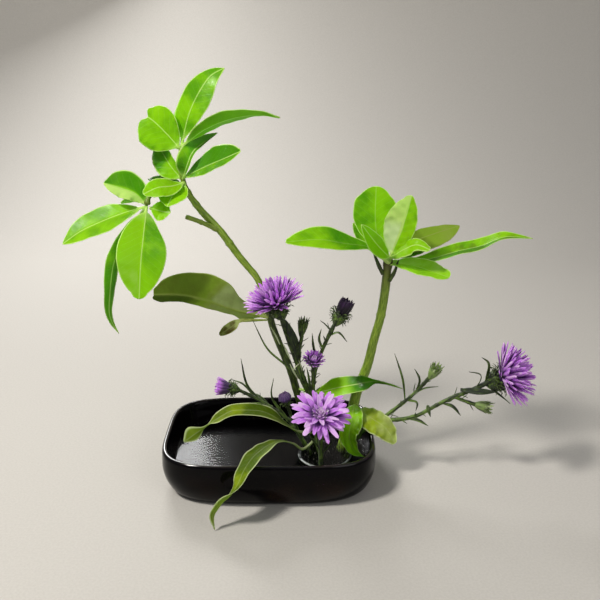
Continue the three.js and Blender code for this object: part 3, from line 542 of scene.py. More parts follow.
def water_looks():
    """Still water: its face reflects by the Fresnel law and lets the rest through; its sides don't show."""
    face = Look("water_face")
    normal = face.bump(face.noise(24, 1), 0.001, 0.05)
    gloss = face.node("BsdfGlossy", {"Color": (0.5, 0.5, 0.5, 1), "Roughness": 0.15, "Normal": normal})
    clear = face.node("BsdfTransparent", {"Color": (0.66, 0.7, 0.7, 1)})
    share = face.value("Fresnel", 0, {"IOR": 1.333, "Normal": normal})
    sides = Look("water_side")
    unseen = sides.node("BsdfTransparent", {"Color": (1, 1, 1, 1)})
    return [face.done(face.blend(share, clear.outputs[0], gloss.outputs[0])), sides.done(unseen.outputs[0])]


def lead_look():
    """Cast pin holder: dull dark metal, scuffed, with a painted highlight along its polished raised edge and
    painted glints on its pins.
    """
    look = Look("lead")
    x, y, height = look.position()
    from_centre = look.vector(x - KENZAN["x"] / 1000, y - KENZAN["y"] / 1000)
    out = look.value("VectorMath", "Value", {0: from_centre}, operation="LENGTH")
    scuffs = look.noise(300, 4)
    look.colour = look.mix(look.band(scuffs, 0.35, 0.65), rgb(3, 3, 3), rgb(16, 16, 15))
    # painted glints: sparse bright spots on the pins
    glint = look.band(height, 0.0125, 0.0205) * look.band(look.cells(190), 0.18, 0.26, 1, 0)
    look.cover(rgb(200, 196, 178), glint)
    # a painted highlight along the raised edge
    edge = look.band(height, 0.0118, 0.0122) * look.band(out, 0.0226, 0.0234)
    look.cover(rgb(235, 235, 232), edge * look.band(look.noise(45, 2), 0.42, 0.52))
    return look.done(look.principled(roughness=look.band(scuffs, 0.3, 0.7, 0.35, 0.6), metallic=0.4,
                                     specular_ior_level=0.15, normal=look.bump(scuffs, 0.0003, 0.5)))


LEAF = leaf_look("leaf", rgb(16, 44, 4), rgb(70, 138, 2), rgb(158, 214, 14), rgb(150, 200, 50),
                 rgb(232, 250, 150), rgb(168, 236, 0))
OLIVE = leaf_look("olive_leaf", rgb(24, 32, 6), rgb(78, 102, 10), rgb(176, 198, 40), rgb(150, 170, 60),
                  rgb(240, 246, 190), rgb(160, 200, 6), 0.42, 0.15, 1.6)
DULL = leaf_look("dull_leaf", rgb(20, 26, 6), rgb(68, 84, 12), rgb(150, 184, 52), rgb(146, 166, 60),
                 rgb(176, 188, 96), rgb(146, 184, 22), 0.48, 0.25, 0.8)
STEM = stem_look("branch", rgb(92, 124, 22), rgb(158, 186, 60), rgb(214, 214, 140), rgb(66, 58, 26))
GREEN = green_look("aster_green", rgb(12, 24, 6), rgb(112, 144, 50), rgb(10, 16, 6))
RAY = ray_look("ray", rgb(56, 12, 96), rgb(226, 146, 250), rgb(255, 236, 255), rgb(240, 146, 255))
DARK_RAY = ray_look("dark_ray", rgb(14, 4, 20), rgb(50, 20, 64), rgb(90, 64, 104), rgb(50, 16, 70))
CENTRE = ray_look("ray_centre", rgb(216, 164, 232), rgb(252, 232, 252), rgb(255, 250, 255),
                  rgb(250, 226, 255))
GLAZE = glaze_look("black_glaze", 0.1)
RIM_GLAZE = glaze_look("rim_glaze", 0.6)
WATER = water_looks()
LEAD = lead_look()
# Looks by the slot of the record that they stand for.
LOOKS = {"leaf": LEAF, "olive_leaf": OLIVE, "dull_leaf": DULL, "ray": RAY, "dark_ray": DARK_RAY}


# ---------------------------------------------------------------- dish, water and pin holder

# Inset from the dish's outline and height, from its foot up the outside and down the inside.
DISH_OUTSIDE = [[13.6, 1.0], [12.9, 0.3], [11.5, 0], [9.2, 0.9], [7.6, 2.2], [5.2, 5.5], [3.2, 10], [1.8, 14],
                [0.8, 18], [0.2, 22], [0, 26], [0.15, 31], [0.5, 36], [0.8, 39], [1.2, 40.3], [1.9, 41.5]]
DISH_INSIDE = [[2.8, 42], [3.9, 41.75], [4.9, 41], [5.6, 39.3], [6.2, 37], [7.2, 32], [8.6, 26], [9.5, 20],
               [10.6, 14], [11.8, 10.6], [13.8, 8.2], [16.2, 7], [19, 6.5], [24, 6.45]]
RIM_FROM = 40.8
WATER_LEVEL, WATER_INSET = 21, 9.45


def oblong_ring(inset, z, count=200):
    """A rounded oblong of the dish's plan, drawn in by inset at height z."""
    mix = min(z / DISH["height"], 1)
    exponent = 2 / (DISH["foot_corner"] + (DISH["corner"] - DISH["foot_corner"]) * mix)
    angle = 2 * np.pi * (np.arange(count) + 0.5) / count
    c, s = np.cos(angle), np.sin(angle)
    return np.stack([(DISH["length"] / 2 - inset) * np.sign(c) * abs(c) ** exponent,
                     (DISH["depth"] / 2 - inset) * np.sign(s) * abs(s) ** exponent,
                     np.full(count, float(z))], -1)


def make_dish():
    """A little uneven, as if made by hand; its rim shines more."""
    piece = Piece("dish_fine", [GLAZE, RIM_GLAZE])
    profile = Path([[inset, 0, z] for inset, z in DISH_OUTSIDE + DISH_INSIDE])
    rings = []
    for inset, _, z in profile.at(np.linspace(0, 1, 84)):
        ring = oblong_ring(inset, z)
        sway = 0.16 * ripple(ring[:, 0] / 90, ring[:, 1] / 90 + z / 60, 3) - 0.25
        ring[:, :2] *= (1 + sway / 90)[:, None]
        ring[:, 2] = max(z, 0)
        rings.append(ring)
    loft(piece, rings)
    heights = piece.points[0][:, 2]
    piece.slots = [int(heights[face].min() > RIM_FROM) for face in piece.faces]
    piece.make("glaze")


def make_water():
    """Closed under its face against the dish's wall, so that no gap shows. Its face climbs the wall."""
    piece = Piece("water_fine", WATER)
    rim = oblong_ring(WATER_INSET, WATER_LEVEL)
    rise = rim + [0, 0, 0.7]
    sides = [oblong_ring(inset, z) for inset, z in ((19.3, 6.6), (13.7, 8.4), (10.7, 14), (9.3, 20.5))]
    loft(piece, [*sides, rise], slot=1, top=False)
    inner = [(0.997, 0.35), (0.99, 0.1), *((share, 0) for share in (0.975, 0.9, 0.75, 0.5, 0.25, 0.05))]
    loft(piece, [rise, *(rim * [share, share, 1] + [0, 0, climb] for share, climb in inner)], foot=False)
    piece.make("water").visible_shadow = False


def make_kenzan():
    """A lead disc with a raised, rounded edge and rows of pins."""
    piece = Piece("kenzan_fine", [LEAD])
    x, y, r, base = KENZAN["x"], KENZAN["y"], KENZAN["radius"], KENZAN["base"]
    profile = [(r - 1.2, 0), (r - 0.3, 0.3), (r, 1.2), (r, base - 1.2), (r, base - 0.2),
               (r - 0.3, base + 0.3), (r - 0.8, base + 0.45), (r - 1.4, base + 0.3), (r - 1.7, base - 0.1),
               (r - 2.2, base - 0.2), (r / 2, base - 0.15), (1, base - 0.15)]
    angle = np.linspace(0, 2 * np.pi, 96, endpoint=False)
    loft(piece, [np.stack([x + radius * np.cos(angle), y + radius * np.sin(angle),
                           np.full(96, KENZAN["bottom"] + z)], -1) for radius, z in profile])
    draw = random.Random(5).uniform
    for row in range(-9, 10):
        for column in range(-9, 10):
            px, py = (column + (row % 2) / 2) * KENZAN["pitch"], row * KENZAN["pitch"] * 0.866
            if math.hypot(px, py) > r - 2.8:
                continue
            root = np.array([x + px, y + py, KENZAN_TOP - 0.4])
            tip = root + [draw(-0.25, 0.25), draw(-0.25, 0.25), KENZAN["pin"] + 0.3]
            tube(piece, [root, (root + tip) / 2, tip], [0.5, 0.48, 0.46, 0.4, 0.1], sides=6, step=2.2)
    piece.make("lead")


# ---------------------------------------------------------------- branches

LEFT_STEM = [[46, 13, 6], [41, 14, 31], [33, 16, 48], [26, 19, 68], [19, 23, 92], [10, 27, 113], [3, 30, 131],
             [-2, 32, 150], [-10, 34, 176], [-26, 35, 197], [-45, 33, 225], [-55, 32, 236], [-63, 30, 247],
             [-71, 27, 261], [-74, 25, 274], [-75, 25, 287], [-73, 24, 299]]
LEFT_TWIG = [[-68, 28, 257], [-80, 20, 262], [-91, 12, 263], [-100, 7, 259], [-102, 5, 252]]
LEFT_STUB = [[-45, 33, 224], [-60, 22, 234], [-70, 14, 240]]
RIGHT_STEM = [[66, 12, 6], [76, 14, 44], [81, 14, 73], [90, 12, 101], [95, 10, 127], [100, 8, 150],
              [103, 6, 176], [104, 4, 196], [105, 4, 209]]
BUD_SCALES = [[[100, 2, 192], [95, 1, 203], [90, 0, 215]], [[106, 1, 186], [110, 0, 195], [113, -1, 206]]]


def above_base(points):
    """The same stem, cut level with the top of the pin holder's base."""
    path = Path(points)
    start = path.share[np.argmax(path.points[:, 2] > KENZAN_TOP)]
    return path.at(np.linspace(start, 1, 26)).tolist()


def make_branches():
    left = Piece("branch_left_fine", [STEM])
    # The left stem's tone darkens its lower part, as painted shade.
    tube(left, above_base(LEFT_STEM), [4.2, 3.9, 3.6, 3.4, 3.2, 3.0, 3.3, 3.3, 2.4, 1.9], sides=24, step=1.2,
         rough=0.05, seed=1, tone=(-1.3, 0.8),
         knots=((0.3, 0.3, 2.2), (0.685, 0.5, 1.6), (0.83, 0.5, 2.2), (0.87, 0.7, 3), (0.965, 0.8, 3)))
    tube(left, LEFT_TWIG, [2.2, 1.8, 1.7, 1.6, 2.3], sides=14, step=1, rough=0.06, seed=2, tone=0.3, age=0.6,
         knots=((0.96, 0.7, 2.5),))
    tube(left, LEFT_STUB, [2.6, 2.0, 2.1], sides=16, step=0.8, rough=0.06, seed=3, tone=1.05,
         knots=((0.55, 0.3, 1.6), (0.12, 0.5, 2)), square_end=True)
    left.make("branch")
    right = Piece("branch_right_fine", [STEM])
    tube(right, above_base(RIGHT_STEM), [5.6, 5.2, 4.9, 4.5, 4.2, 4, 3.9, 4.0, 3.2], sides=24, step=1.2,
         rough=0.06, seed=6, tone=0.75, age=1.0, knots=((0.715, 0.45, 2.0), (0.96, 0.9, 4), (0.42, 0.2, 2.4)))
    # The bud scales' low tone darkens them, as painted shade.
    for scale in BUD_SCALES:
        tube(right, scale, [1.6, 1.9, 1.2, 0.5], sides=10, step=0.8, tone=-1.0)
    right.make("branch")


# ---------------------------------------------------------------- leaves

def leaf(rib, width, face, look="leaf", wave=0.5, **shape):
    """The look of a leaf, and what its blade is made from."""
    return look, dict(rib=rib, width=width, face=face, wave=wave, quilt=0.1, ridge=0.45, **shape)


# Leaves from the left branch's tip down to its side twig. Their tones and lighter halves paint light and
# shade on them: dark tones are painted shade and pale tones painted highlights.
LEFT_LEAVES = [
    leaf([[-73, 24, 299], [-70, 25, 311], [-65, 25, 327], [-56, 25, 344], [-46, 27, 357], [-35, 30, 363]],
         27, (-0.3, -0.93, 0.2), halves=(1.08, 0.92),
         lobes=((-1, 0.7, -1, 12), (1, 0.82, -1.6, 11), (1, 0.25, 4, 11)), fold=0.12, fullest=1.1,
         bluntness=0.85, tip_width=3, tone=0.5),
    leaf([[-74, 24, 297], [-87, 27, 311], [-97, 30, 320], [-106, 34, 325]], 38, (-0.6, -0.75, 0.4),
         halves=(0.93, 1.12), lobes=((1, 0.88, 6.5, 7), (1, 0.3, 3, 8)), fold=0.1, bluntness=0.5,
         fullest=1.3, tip_width=30, notch=5, tone=0.6),
    leaf([[-73, 23, 299], [-51, 12, 315], [-27, 2, 325], [-6, -3, 328], [12, -6, 326]], 22,
         (0.1, 0.42, 0.9), fold=0.2, tip_width=4, tone=0.0),
    leaf([[-73, 24, 271], [-68, 17, 284], [-63, 20, 295], [-54, 28, 302], [-43, 36, 309]], 17,
         (-0.1, -0.95, 0.3), halves=(0.35, 1.2), fold=0.3, fullest=0.65, tone=(0.3, -1.1)),
    leaf([[-73, 24, 272], [-52, 8, 284], [-34, -4, 293], [-20, -12, 300]], 30, (-0.15, -0.65, 0.7),
         halves=(0.6, 1.2), fold=0.05, bluntness=0.65, tip_width=9, tone=0.1, split=-0.3),
    leaf([[-74, 27, 270], [-84, 31, 281], [-91, 36, 291], [-98, 42, 299]], 21, (-0.5, -0.75, 0.3),
         halves=(0.8, 1.25), fold=0.3, bluntness=0.6, tip_width=9, tone=(0.8, -0.9)),
    leaf([[-72, 24, 268], [-81, 13, 267], [-92, 6, 267], [-103, -2, 263]], 18, (-0.15, -0.85, 0.5),
         halves=(0.9, 1.1), fold=0.1, bluntness=0.5, fullest=1.3, tip_width=12, tone=1.4),
    leaf([[-71, 25, 267], [-80, 12, 260], [-84, 0, 252]], 24, (-0.1, -0.85, 0.5), fold=0.12, bluntness=0.55,
         tip_width=9, tone=1.1),
    leaf([[-74, 28, 267], [-90, 33, 268], [-107, 42, 268]], 13, (0.1, -0.5, 0.85), tone=-1.2, ribbed=0.2),
    leaf([[-100, 5, 250], [-91, 6, 247], [-82, 4, 246]], 20, (0.1, -0.8, 0.6), bluntness=0.6, fullest=1.2,
         tip_width=9, tone=1.0),
    leaf([[-102, 6, 252], [-111, 5, 262], [-122, 3, 267], [-136, 0, 272]], 26, (-0.3, -0.78, 0.55),
         halves=(1.2, 0.7), fold=0.3, bluntness=0.6, fullest=1.15, tip_width=9, tone=1.2, split=1.1),
    leaf([[-103, 4, 251], [-120, -1, 247], [-140, -6, 240], [-156, -10, 233], [-171, -14, 223]], 28,
         (-0.15, -0.55, 0.8), halves=(1.05, 1.2), fold=0.2, bluntness=0.75, tip_width=3, tone=0.6),
    leaf([[-102, 4, 251], [-103, -16, 227], [-104, -27, 209], [-106, -33, 181]], 41, (0.22, -0.85, 0.5),
         fold=0.1, bluntness=0.66, tip_width=16, tone=(0.7, 1.2), split=-0.35,
         lobes=((1, 0.24, -2.5, 12),)),
    leaf([[-103, 6, 250], [-120, 12, 229], [-136, 16, 199], [-143, 18, 167], [-145, 19, 149],
          [-143, 20, 139], [-138, 20, 129]], 15, (-0.55, -0.75, 0.3), fold=0.3, fullest=0.8, bluntness=0.9,
         twist=-20, tone=(0.3, -0.6)),
    leaf([[-102, 6, 252], [-114, 22, 252], [-131, 36, 247]], 18, (0, 0.3, 0.95), tone=0.1),
]
# The right branch's whorl, with light and shade painted by the leaves' tones and lighter halves.
RIGHT_LEAVES = [
    leaf([[105, 2, 203], [94, -3, 214], [84, -6, 219], [66, -12, 223], [45, -18, 228], [16, -22, 227]], 25,
         (0.1, -0.55, 0.84), halves=(1.15, 0.85), fold=0.12, stalk=0.2, stalk_width=7, fullest=1.25,
         bluntness=0.68, tip_width=8, tone=(-0.1, 0.7), ribbed=0.2),
    leaf([[105, 5, 206], [97, 14, 217], [94, 20, 234], [94, 24, 265]], 39, (-0.1, -0.96, 0.25), fold=0.1,
         bluntness=0.48, fullest=1.25, tip_width=30, tone=0.55, split=-0.15, ribbed=0.3,
         lobes=((1, 0.3, -5, 9), (1, 0.5, -1, 5), (1, 0.85, 3, 6), (-1, 0.85, 1.5, 6))),
    leaf([[106, 2, 207], [111, -4, 225], [116, -8, 243], [120, -12, 264]], 32, (-0.4, -0.85, 0.4),
         halves=(0.75, 1), fold=0.12, bluntness=0.62, twist=10, tip_width=14, crinkle=1.3, tone=(2.3, 1.5),
         split=0.9),
    leaf([[106, 2, 206], [93, -13, 222], [78, -26, 243]], 18, (0.1, -0.85, 0.5), halves=(0.65, 1.1),
         fold=0.35, bluntness=0.7, tone=1.3),
    leaf([[106, 2, 206], [116, -12, 218], [125, -20, 224], [135, -28, 222]], 15, (0, -0.7, 0.7),
         bluntness=0.6, tip_width=7, roll=-0.2, tone=(1.6, 1.0)),
    leaf([[107, 5, 205], [128, 20, 216], [150, 32, 221], [173, 44, 225]], 30, (0, -0.5, 0.86),
         halves=(1.1, 0.6), fold=0.12, look="dull_leaf", tone=(0.8, 1.6)),
    # its brown blotches stand partly for shade on its lower half, and one half is painted lighter
    leaf([[107, 4, 202], [136, 4, 204], [166, 2, 213], [184, 0, 218], [201, -6, 227], [224, -10, 227]], 21,
         (0, -0.25, 0.97), fold=0.25, tone=0.3, split=0.35, age=0.4, ribbed=0.6),
    leaf([[107, 3, 202], [125, -6, 202], [139, -16, 200], [152, -28, 198]], 22, (0.1, -0.5, 0.86),
         bluntness=0.6, fullest=1.1, stalk=0.02, stalk_width=7, tip_width=19, tone=1.2, split=0.4,
         ribbed=0.3),
    leaf([[107, 6, 205], [124, 13, 211], [141, 22, 211]], 17, (0.1, -0.6, 0.8), tone=-0.8),
    leaf([[105, 6, 205], [89, 30, 215], [76, 44, 228]], 22, (0.2, -0.6, 0.75), tone=0.3),
]
LOW_LEAVES = [
    # the broad leaf behind, seen from below, and its small brown neighbour; the broad leaf's tone paints
    # light towards its root and shade towards its tip
    leaf([[-1, 31, 141], [-34, 26, 151], [-56, 19, 162], [-79, 13, 169], [-103, 7, 171]], 34,
         (0.28, 0.95, 0.06), halves=(0.5, 1.52),
         lobes=((-1, 0.19, 5, 7), (-1, 0.95, 3, 9), (1, 0.26, -6, 14)), stalk=0.04, stalk_width=5,
         fold=0.05, bluntness=0.55, fullest=1.2, tip_width=13, look="dull_leaf", tone=(3.3, -0.5), split=0.4,
         age=0.2, ribbed=2.6, wave=0.9, notch=1.5),
    leaf([[0, 30, 139], [-18, 26, 140], [-28, 24, 140], [-35, 22, 135], [-46, 20, 128]], 11, (0, -0.6, 0.8),
         stalk=0.55, stalk_width=1.2, bluntness=0.6, tip_width=6, look="dull_leaf", tone=2.6, age=1.0),
    # over the water, and over the front rim down to the table
    leaf([[40, 13, 31], [25, -7, 44], [14, -13, 54], [5, -15, 62], [-6, -16, 68], [-21, -19, 71],
          [-33, -21, 71], [-45, -23, 65], [-56, -25, 58], [-66, -26, 51], [-76, -26, 43]], 20, (0, 0.1, 1),
         stalk=0.2, fullest=0.65, twist=-25, turn=(0.83, 115), look="olive_leaf", tone=(-0.2, 0.35), wave=0.4,
         rows=70, ribbed=0.25,
         lobes=((1, 0.83, -4, 7), (-1, 0.83, -4, 7), (1, 0.935, 6, 8), (-1, 0.935, 3, 8))),
    leaf([[42, 12, 25], [36, -4, 27], [30, -14, 29], [21, -28, 43], [10, -40, 51.5], [-1, -52, 53],
          [-12, -66, 50], [-19, -79, 45], [-23, -87, 38], [-30, -91, 29], [-38, -94.2, 23],
          [-44, -96.6, 15], [-43, -98.2, 1.4]], 22, (-0.45, -0.5, 0.75), stalk=0.3, stalk_width=2.6,
         fullest=0.8, bluntness=1.1, twist=20, turn=(0.8, 70), look="olive_leaf", tone=(-0.2, 0.2), wave=1.3,
         waves=3, rows=80, ribbed=0.2, halves=(0.85, 1),
         lobes=((1, 0.93, 1.5, 9), (-1, 0.93, 1.5, 9), (-1, 0.46, -2.4, 4), (-1, 0.54, -2.4, 4))),
    # by the right branch's foot
    leaf([[26, 19, 74], [44, 12, 74], [62, 2, 83], [80, -5, 90], [97, -9, 95], [120, -12, 89]], 20,
         (-0.1, -0.6, 0.8), stalk=0.14, fullest=0.65, bluntness=1.3, turn=(0.68, 75), tone=(1.2, -1.6),
         wave=1.0, ribbed=0.8, lobes=((1, 0.8, -2, 11), (-1, 0.8, -2, 11))),
    leaf([[79, 12, 63], [76, -4, 56], [73, -15, 42], [78, -22, 31], [86, -26, 28]], 22, (-0.2, -0.95, 0.2),
         fullest=0.68, bluntness=0.8, twist=30, tone=1.2, wave=1.1, crinkle=1.2, ribbed=0.3, age=0.1),
    leaf([[80, 12, 57], [94, -4, 55], [106, -11, 49], [115, -15, 35]], 22, (0.1, -0.75, 0.6),
         halves=(1.25, 0.85), fold=0.3, bluntness=0.65, fullest=0.95, tip_width=8, look="olive_leaf",
         tone=1.6, age=0.2, crinkle=2.2, ribbed=0.15),
]


def make_leaves():
    for name, leaves in (("leaf_left", LEFT_LEAVES), ("leaf_right", RIGHT_LEAVES), ("leaf_low", LOW_LEAVES)):
        for number, (look, shape) in enumerate(leaves, 1):
            piece = Piece(f"{name}_{number:02d}_fine", [LOOKS[look]])
            blade(piece, seed=number + 20 * len(name), **shape)
            piece.make(look)


# ---------------------------------------------------------------- asters

# Layers of rays from the outermost in: count, length, width, how far from the axis they root, and
# degrees from the axis at root and tip.
DENSE = [(21, 21, 3.7, 7.5, 84, 74), (25, 23, 3.6, 7, 74, 62), (26, 23.5, 3.5, 6.4, 64, 52),
         (23, 23, 3.4, 5.8, 53, 42), (20, 22.5, 3.3, 5, 42, 32), (17, 22, 3.2, 4, 31, 22),
         (12, 21, 3.1, 3, 20, 12), (8, 20, 2.9, 1.6, 8, 2)]
BROAD = [(20, 24, 5, 5, 86, 96), (17, 22.5, 4.8, 4.6, 72, 80), (14, 19, 4.4, 4, 54, 56),
         (7, 10, 3.2, 3.2, 36, 30), (13, 7, 2, 3.4, 48, 30), (12, 7, 1.8, 2.2, 26, 12),
         (7, 6.5, 1.6, 0.9, 10, 0)]
# Each bloom's range of ray tones reaches high, to paint pale highlights on some rays.
BLOOMS = {
    "back": dict(base=(8, -1, 164), axis=(-0.33, -0.05, 0.94), layers=DENSE, tones_and_light=(-0.8, 2.6)),
    "front": dict(base=(46, -34, 72), axis=(0.02, -0.5, 0.87), layers=BROAD, centre=4, loose=1.5, reach=0.96,
                  tones_and_light=(-0.2, 3)),
    "right": dict(base=(208, -11, 100), axis=(0.84, -0.38, 0.4), layers=DENSE, reach=1.14, open=0.9,
                  tones_and_light=(-0.8, 2.8)),
}
# Rings of rays in a bud: count, height, width, and how far from the axis at root, middle and tip.
BUDS = {
    "dark": dict(base=(65, 1, 157), axis=(0.42, -0.05, 0.9), look="dark_ray", tilt=0.25,
                 rings=[(14, 14, 3.6, 5.2, 6.6, 6.2), (11, 14.5, 3.2, 3.6, 5, 4.4),
                        (7, 14, 2.8, 1.6, 2.6, 2.2)]),
    "half": dict(base=(40, -5, 113), axis=(0.15, -0.45, 0.88), tilt=0.2, centre=3, tones_and_light=(-0.4, 0.6),
                 rings=[(18, 5, 2.1, 3.4, 7.5, 10.5), (16, 7, 2, 3, 6, 8), (12, 8, 1.9, 2.4, 4, 4.6),
                        (8, 7.5, 1.8, 1.6, 2.4, 2), (8, 6, 1.2, 1, 1.6, 1.8)]),
    "left": dict(base=(-36, -5, 86), axis=(-0.9, -0.1, 0.25), tilt=0.15, tones_and_light=(-0.5, 0.9),
                 rings=[(14, 13, 3.2, 3.6, 6.6, 8.4), (11, 13.5, 2.9, 2.6, 4.6, 5.8),
                        (6, 13, 2.5, 1.2, 2.2, 2.8)]),
    "low": dict(base=(15, -9, 76), axis=(-0.25, -0.25, 0.93), tilt=0.2, tones_and_light=(-2.2, -1.2),
                rings=[(13, 9, 3, 3.2, 6.2, 3.2), (9, 9.5, 2.6, 2.4, 4.6, 1.8),
                       (5, 9.5, 2.2, 1.2, 2.4, 0.8)]),
}
# Where the points of a narrow blade lie across it, from one margin to the other.
RAY_ACROSS = np.array([-1, -0.55, 0, 0.55, 1])


def ray(piece, rib, width, face, **shape):
    """A narrow petal of few points."""
    blade(piece, rib, width, face, stalk=0, bluntness=0.5, thickness=0.35, rows=9, across=RAY_ACROSS, **shape)


def make_bloom(name, base, axis, layers, tones_and_light, seed, centre=99, loose=1.0, reach=1.0, open=1.0):
    """An open bloom: rays in layers that lean out from a small domed heart.

    loose scales how far rays stray, reach their length and open how far they lean. centre is the first
    of the pale inner layers."""
    piece = Piece(f"{name}_fine", [RAY, CENTRE])
    draw = random.Random(seed).uniform
    up = unit(axis)
    out = around(up)
    base = np.array(base, float)
    tube(piece, [base, base + up * 2, base + up * 4], [7, 6.5, 4.5], sides=16, step=1, tone=0.0)
    for layer, (count, length, width, root_radius, lean, tip_lean) in enumerate(layers):
        for k in range(count):
            outward = out(2 * math.pi * (k + 0.5 * layer + draw(-0.25, 0.25)) / count)

            def heading(degrees):
                return up * math.cos(math.radians(degrees)) + outward * math.sin(math.radians(degrees))

            drift = np.cross(up, outward) * draw(-0.12, 0.12) * loose
            root_lean = lean * open + draw(-5, 5) * loose
            long = length * reach * (1 + draw(-0.1, 0.07) * loose)
            bend = tip_lean * open + draw(-9, 9) * loose
            start = base + up * (4.5 - root_radius * 0.35) + outward * root_radius * 0.8
            elbow = start + (heading(root_lean) + drift) * long * 0.42
            shoulder = elbow + (heading((root_lean + bend) / 2) + drift) * long * 0.33
            tip = shoulder + (heading(bend) + 2 * drift) * long * 0.25
            ray(piece, [start, elbow, shoulder, tip], width * draw(0.85, 1.12), heading(root_lean - 90),
                stalk_width=width * 0.45, tip_width=width * 0.6, fullest=1.2, fold=draw(0.2, 0.5),
                twist=draw(-14, 14) * loose, slot=int(layer >= centre), tone=draw(*tones_and_light),
                notch=0.5 if width > 5 else 0)
    piece.make("ray", name)


def make_bud(name, base, axis, rings, tilt, seed, look="ray", centre=99, tones_and_light=(0, 1)):
    """A bud or half-open bloom: rings of rays that stand up from the cup and close over."""
    piece = Piece(f"{name}_fine", [LOOKS[look], CENTRE])
    draw = random.Random(seed).uniform
    up = unit(axis)
    out = around(up)
    base = np.array(base, float) - up * 1.0
    root = rings[0][3] * 0.8
    tube(piece, [base, base + up * 2, base + up * 5], [root, root, 1.0], sides=12, step=1, tone=0.0)
    for number, (count, height, width, *radii) in enumerate(rings):
        for k in range(count):
            angle = 2 * math.pi * (k + 0.5 * number + draw(-0.2, 0.2)) / count
            rise = height * draw(0.88, 1.06)
            rib = [base + up * rise * share + out(angle + tilt * share) * radius
                   for share, radius in zip((0, 0.5, 1), radii)]
            ray(piece, rib, width * draw(0.9, 1.1), up * 0.3 - out(angle), stalk_width=width * 0.6,
                tip_width=width * 0.5, fullest=1.1, fold=0.4, twist=draw(-8, 8), slot=int(number >= centre),
                tone=draw(*tones_and_light))
    piece.make(look, name)


def make_cup(piece, seed, base, axis, radius, height, rows, length, tone=0.4, curl=1.0):
    """The green cup under a bloom or bud, shingled with narrow bracts whose tips curl outward."""
    draw = random.Random(seed).uniform
    up = unit(axis)
    out = around(up)
    base = np.array(base, float)
    tube(piece, [base - up * height, base - up * height * 0.5, base + up * 0.5],
         [radius * share for share in (0.32, 0.62, 0.88, 1.0, 0.97, 0.85)], sides=14, step=1.2, tone=tone)
    for row in range(rows):
        share = (row + 0.4) / rows
        at = np.interp(share, np.linspace(0, 1, 6), [0.88, 0.97, 1.0, 0.86, 0.62, 0.4])
        for k in range(9):
            outward = out(2 * math.pi * (k + 0.5 * row + draw(-0.2, 0.2)) / 9)
            aside = np.cross(up, outward) * draw(-0.3, 0.3)
            long = length * draw(0.75, 1.2)
            root = base - up * height * share * 0.92 + outward * radius * at * 0.86
            rib = [root, root + up * long * 0.45 + outward * long * 0.28 * curl,
                   root + up * long * (1.0 - 0.38 * curl) + outward * long * 0.72 * curl + aside,
                   root + up * long * (1.4 - curl * draw(0.8, 1.2)) + outward * long * 1.1 * curl + aside * 2]
            blade(piece, rib, 1.9, outward + up * 0.2, stalk=0, stalk_width=1.5, tip_width=0.3, fullest=0.55,
                  fold=0.4, thickness=0.4, rows=6, across=np.array([-1, 0, 1]), tone=tone + draw(-0.25, 0.25))


def make_stalks(name, stalks, cups, leaves, seed, leafy=9.0):
    """An aster stem: its stalks, with a small leaf every leafy millimetres, cups and long leaves."""
    piece = Piece(f"{name}_fine", [GREEN])
    draw = random.Random(seed).uniform
    for number, (points, *radii) in enumerate(stalks):
        points = above_base(points) if points[0][2] < KENZAN_TOP else points
        path = Path(points)
        knots = [(draw(0.1, 0.95), 0.3, 1.2) for _ in range(int(path.length / 14))]
        tube(piece, points, radii, sides=12, step=1.3, rough=0.12, seed=seed + number, knots=knots, tone=0.55)
        for k in range(int(path.length / leafy)):
            v = 0.12 + 0.85 * (k + draw(0, 0.6)) * leafy / path.length
            root = path.at(v)
            if v > 0.98 or root[2] < 40:
                continue
            tangent = path.tangent(v)
            outward = around(tangent)(k * GOLDEN_ANGLE + draw(-0.4, 0.4))
            long = draw(5, 10.5)
            rib = [root, root + outward * long * 0.4 + tangent * long * 0.35,
                   root + outward * long * 0.75 + tangent * long * draw(0.5, 0.9)]
            blade(piece, rib, draw(1.5, 2.3), tangent - outward * 0.3, stalk=0, stalk_width=1.1,
                  tip_width=0.3, fullest=0.7, fold=0.35, thickness=0.4, rows=8, across=RAY_ACROSS,
                  tone=draw(0.1, 0.8))
    for number, cup in enumerate(cups):
        make_cup(piece, seed * 10 + number, *cup)
    for width, *rib in leaves:
        tangent = unit(np.array(rib[-1], float) - rib[0])
        facing = unit(np.array([0, 0, 1.0]) - tangent * tangent[2] + np.array([0, -0.35, 0]))
        # the narrowest leaves are pale, partly as painted glints; the widest are dark
        tone = 1.5 if width < 0.8 else -0.1
        if 0.8 <= width < 2:
            tone = draw(0.2, 0.7)
        blade(piece, rib, width * 2.7, facing, stalk=0, stalk_width=width * 1.6, tip_width=0.4, fullest=0.8,
              fold=0.3, thickness=0.55, rows=22, across=RAY_ACROSS, tone=tone, twist=draw(-25, 25))
    piece.make("aster_green", name)


